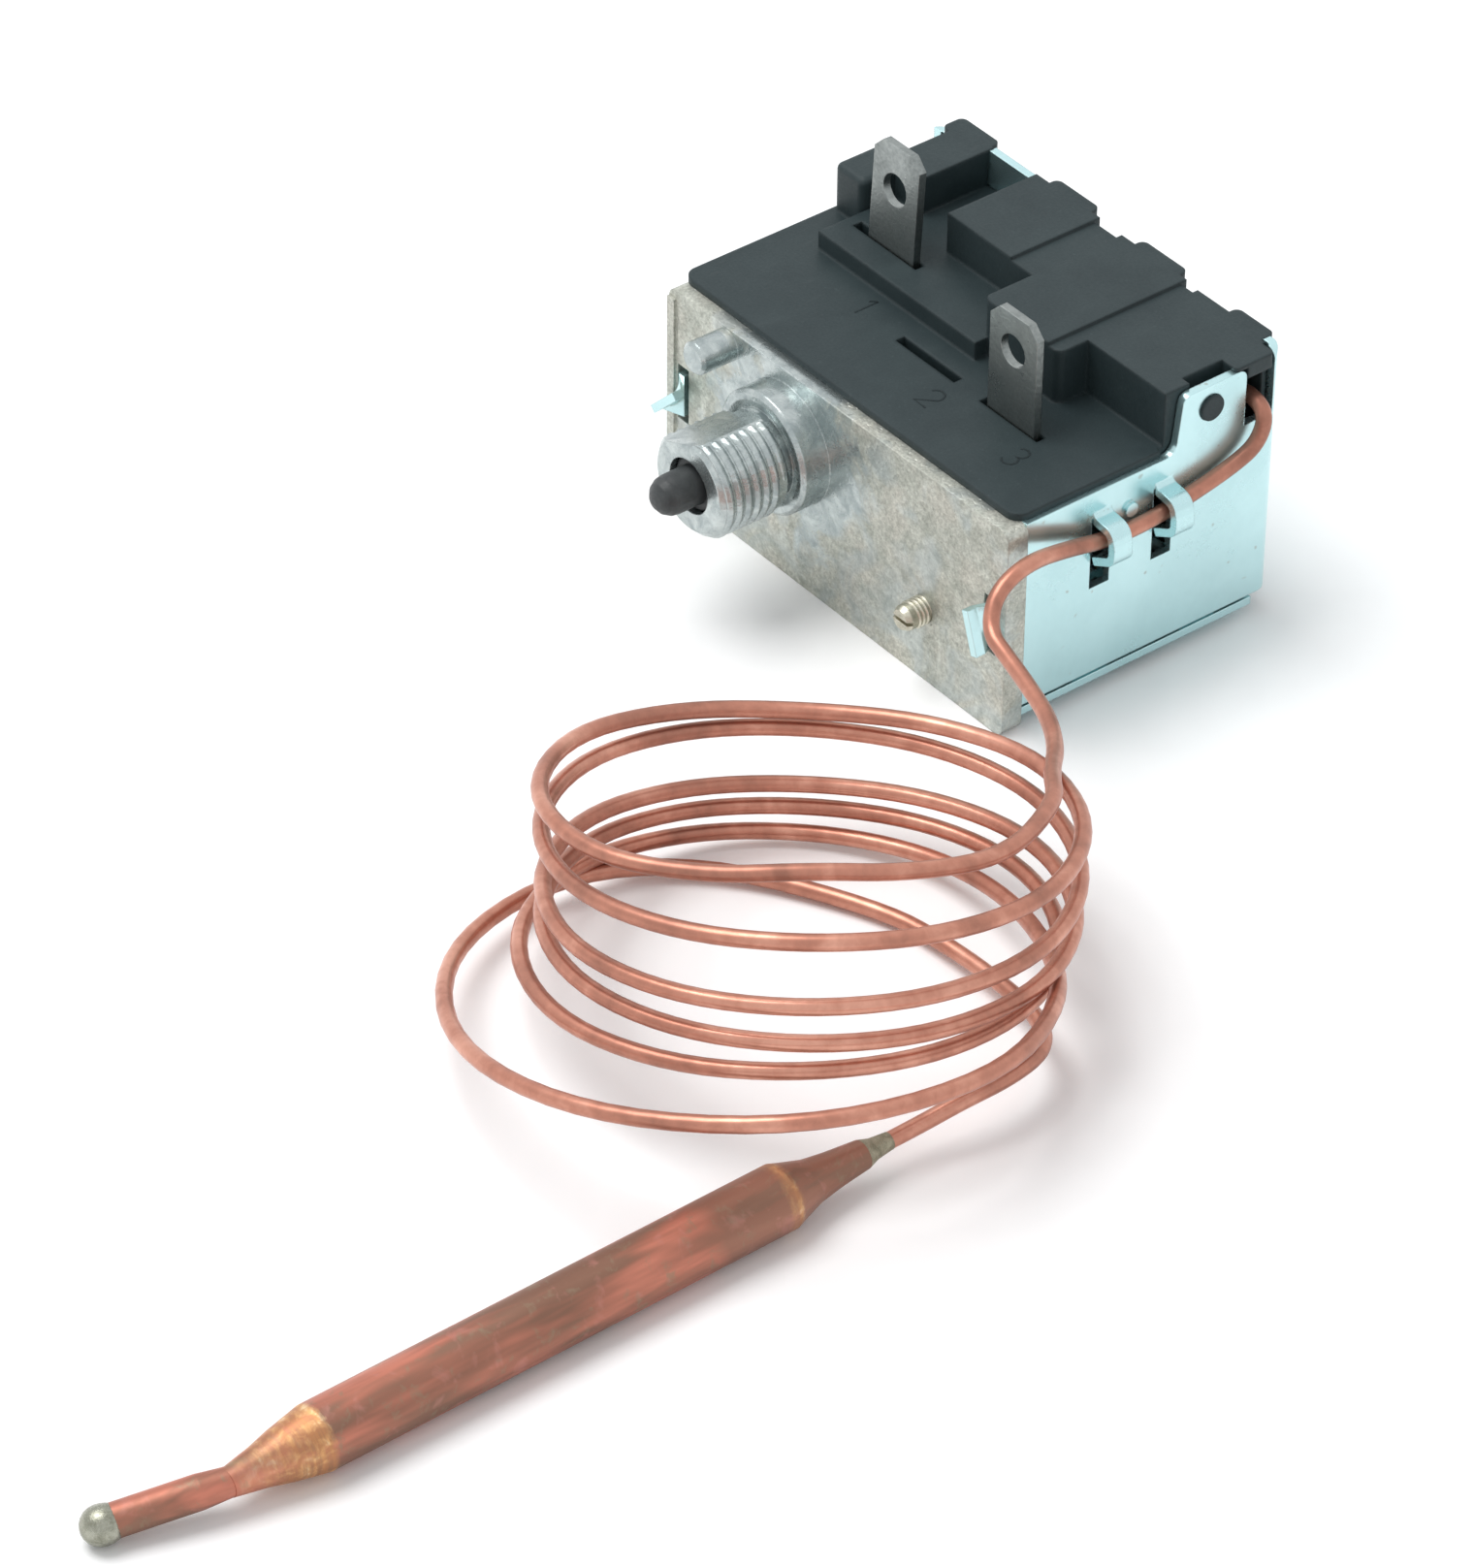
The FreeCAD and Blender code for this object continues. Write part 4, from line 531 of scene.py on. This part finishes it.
def thread(name, start, radius, pitch, height, length, material, slot, flat=None):
    """A right-handed helical ridge round a shank that points along -Y from start."""
    steps = round(length / pitch * THREAD_STEPS)
    places = []
    for step in range(steps + 1):
        angle = 2 * math.pi * step / THREAD_STEPS
        run_out = min(1.0, min(step, steps - step) / THREAD_STEPS / THREAD_RUN_OUT)
        for along, share in THREAD_RIDGE:
            reach = radius - THREAD_SUNK + share * (height * run_out + THREAD_SUNK)
            if flat is not None:
                distance, facing = flat
                toward = math.cos(angle - math.radians(facing))
                if toward > 0 and toward * reach > distance:
                    reach = (distance - THREAD_SUNK) / toward
            forward = pitch * (step / THREAD_STEPS + along)
            places.append((
                start[0] + reach * math.cos(angle),
                start[1] - forward,
                start[2] + reach * math.sin(angle),
            ))
    mesh_piece(name, places, len(THREAD_RIDGE), material)


def bead(material):
    """The drop of solder that has run round the end of the filling tail."""
    middle = Vector(BEAD_MIDDLE)
    along = Vector(TAIL_WAY).normalized()
    side = along.cross(Vector((0, 0, 1))).normalized()
    up = side.cross(along)
    places = []
    for reach, radius in BEAD_PROFILE:
        for step in range(BEAD_STEPS):
            turn = 2 * math.pi * step / BEAD_STEPS
            outward = side * math.cos(turn) + up * math.sin(turn)
            places.append(tuple(middle + along * reach + outward * radius))
    drop = mesh_piece("solder_drop", places, BEAD_STEPS, material)
    drop.data.shade_smooth()
    return drop


def arc(middle, radius, first, last):
    """Places along an arc, from one angle to another in degrees."""
    places = []
    for step in range(DIGIT_STEPS + 1):
        angle = math.radians(first + (last - first) * step / DIGIT_STEPS)
        places.append((middle[0] + radius * math.cos(angle), middle[1] + radius * math.sin(angle)))
    return places


def digit_strokes(digit):
    """The strokes of a digit two thirds as wide as it is tall, in a box 1 tall."""
    if digit == 1:
        return [[(0.10, 0.78), (0.30, 1.0), (0.30, 0.0)]]
    if digit == 2:
        return [arc((0.32, 0.70), 0.30, 165, -35) + [(0.02, 0.0), (0.64, 0.0)]]
    return [arc((0.30, 0.74), 0.26, 150, -90) + arc((0.30, 0.24), 0.28, 90, -150)[1:]]


def stroke(name, line, corner, material):
    """A raised ribbon with a sloping edge along a line on the deck."""
    places = []
    for index, spot in enumerate(line):
        before = line[max(index - 1, 0)]
        after = line[min(index + 1, len(line) - 1)]
        run = Vector((after[0] - before[0], after[1] - before[1])).normalized()
        side = Vector((-run.y, run.x))
        spot = Vector(spot) * DIGIT_HEIGHT + Vector(corner)
        for offset, rise in DIGIT_PROFILE:
            edge = spot + side * offset
            places.append((edge.x, edge.y, DECK_TOP + rise))
    mesh_piece(name, places, len(DIGIT_PROFILE), material)


# Studio


def camera():
    """The camera that was solved from the edges of the housing."""
    heading = math.radians(CAMERA_HEADING)
    height = math.radians(CAMERA_HEIGHT)
    roll = math.radians(CAMERA_ROLL)
    back = Vector((
        math.sin(heading) * math.cos(height),
        -math.cos(heading) * math.cos(height),
        math.sin(height),
    ))
    level = back.cross(Vector((0, 0, -1))).normalized()
    down = (-back).cross(level)
    right = level * math.cos(roll) + down * math.sin(roll)
    down = down * math.cos(roll) - level * math.sin(roll)
    eye = -(right * CAMERA_SHIFT.x + down * CAMERA_SHIFT.y - back * CAMERA_SHIFT.z)
    data = bpy.data.cameras.new("camera")
    data.sensor_fit = "VERTICAL"
    data.sensor_height = SENSOR
    data.lens = CAMERA_FOCAL / PICTURE_HEIGHT * SENSOR
    data.clip_start = 0.01
    data.clip_end = 50
    view = bpy.data.objects.new("camera", data)
    bpy.context.scene.collection.objects.link(view)
    turn = Matrix((right, -down, back)).transposed().to_4x4()
    view.matrix_world = Matrix.Translation(at(*eye)) @ turn
    bpy.context.scene.camera = view


def lamp():
    """A disc of light high up on the left."""
    data = bpy.data.lights.new("top_lamp", "AREA")
    data.shape = "DISK"
    data.size = LAMP_SIZE
    data.energy = LAMP_POWER
    light = bpy.data.objects.new("top_lamp", data)
    bpy.context.scene.collection.objects.link(light)
    light.location = LAMP_PLACE
    way = Vector(LAMP_TARGET) - Vector(LAMP_PLACE)
    light.rotation_euler = way.to_track_quat("-Z", "Y").to_euler()


def studio():
    """The floor, the lamp and the sky."""
    mesh = bpy.data.meshes.new("floor")
    corners = [(-1, -1), (1, -1), (1, 1), (-1, 1)]
    mesh.from_pydata([(x * FLOOR_REACH, y * FLOOR_REACH, 0) for x, y in corners], [], [(0, 1, 2, 3)])
    floor = bpy.data.objects.new("floor", mesh)
    bpy.context.scene.collection.objects.link(floor)
    floor.location.z = -FLOOR_DROP
    mesh.materials.append(floor_material())
    lamp()
    surroundings()


def surroundings():
    """A soft sky, white to the camera and in reflections."""
    world = bpy.data.worlds.new("studio")
    bpy.context.scene.world = world
    world.use_nodes = True
    tree = world.node_tree
    background = tree.nodes["Background"]
    background.inputs["Color"].default_value = SKY_COLOUR
    path = tree.nodes.new("ShaderNodeLightPath")
    seen = tree.nodes.new("ShaderNodeMath")
    seen.operation = "MAXIMUM"
    tree.links.new(path.outputs["Is Camera Ray"], seen.inputs[0])
    tree.links.new(path.outputs["Is Glossy Ray"], seen.inputs[1])
    strength = tree.nodes.new("ShaderNodeMapRange")
    strength.inputs["To Min"].default_value = SKY
    strength.inputs["To Max"].default_value = 1.0
    tree.links.new(seen.outputs["Value"], strength.inputs["Value"])
    tree.links.new(strength.outputs["Result"], background.inputs["Strength"])


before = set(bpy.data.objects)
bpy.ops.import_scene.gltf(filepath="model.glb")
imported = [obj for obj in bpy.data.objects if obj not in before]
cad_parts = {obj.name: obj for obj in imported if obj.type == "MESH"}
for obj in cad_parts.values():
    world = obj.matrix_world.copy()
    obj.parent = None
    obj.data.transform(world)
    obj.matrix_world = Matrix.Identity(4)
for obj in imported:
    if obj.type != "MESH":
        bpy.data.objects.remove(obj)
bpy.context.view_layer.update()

solder = worn_metal("solder", (0.22, 0.22, 0.17), (0.42, 0.42, 0.35), 0.24, 1.0, metal=0.9)
capillary(bead(solder))
casting = casting_material()
dress(casting, "front_plate")
dress(zinc_plate_material(), "side_frame", "base_plate")
moulding = cover_material()
dress(moulding, "terminal_cover")
dress(button_material(), "reset_button")
dress(bulb_material(), "bulb_body")
dress(
    worn_metal("nickel_tabs", (0.20, 0.22, 0.215), (0.35, 0.375, 0.365), 0.34, 3.0),
    "terminal_tab_1", "terminal_tab_3",
)
dress(
    worn_metal("olive_braze", (0.20, 0.18, 0.12), (0.36, 0.33, 0.24), 0.5, 1.0, metal=0.7),
    "braze_collar",
)
dress(solder, "bulb_seal")
screw_finish = worn_metal("zinc_screw", (0.42, 0.40, 0.32), (0.68, 0.65, 0.54), 0.34, 1.2)
dress(screw_finish, "calibration_screw", "spring_nut")
dress(
    worn_metal("spring_wire", (0.22, 0.22, 0.22), (0.42, 0.42, 0.41), 0.32, 1.5),
    "reset_spring", "range_spring", "contact_spring", "button_clip", "lever_pin", "contact_pin",
)
dress(
    worn_metal("blued_steel", (0.30, 0.32, 0.33), (0.50, 0.52, 0.53), 0.38, 3.0),
    "trip_lever", "spring_retainer",
)
dress(
    worn_metal("contact_silver", (0.52, 0.51, 0.48), (0.74, 0.73, 0.70), 0.28, 0.8),
    "fixed_contact", "moving_contact",
)
dress(
    worn_metal("contact_bronze", (0.40, 0.24, 0.10), (0.60, 0.40, 0.19), 0.34, 2.0),
    "contact_arm",
)
dress(
    worn_metal("rivet_brass", (0.42, 0.32, 0.13), (0.64, 0.51, 0.25), 0.34, 1.0),
    "terminal_rivet", "capsule_cup", "thrust_pin",
)
dress(
    worn_metal("capsule_steel", (0.34, 0.35, 0.35), (0.56, 0.57, 0.56), 0.30, 3.0),
    "diaphragm_capsule",
)
dress(
    worn_metal("ceramic", (0.62, 0.58, 0.50), (0.76, 0.73, 0.66), 0.45, 1.5, metal=0.0, scratch=False),
    "push_rod",
)

thread("bush_thread", (BUSH_MIDDLE[0], BUSH_THREAD_START, BUSH_MIDDLE[1]), material=casting,
       slot="casting", flat=BUSH_FLAT, **BUSH_THREAD)
thread("screw_thread", (SCREW_MIDDLE[0], SCREW_THREAD_START, SCREW_MIDDLE[1]), material=screw_finish,
       slot="screw_steel", **SCREW_THREAD)
for digit, corner in DIGITS:
    for number, line in enumerate(digit_strokes(digit)):
        stroke("digit_%d_%d" % (digit, number), line, corner, moulding)

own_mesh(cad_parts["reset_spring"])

camera()
studio()
bpy.context.scene.view_settings.view_transform = "Standard"
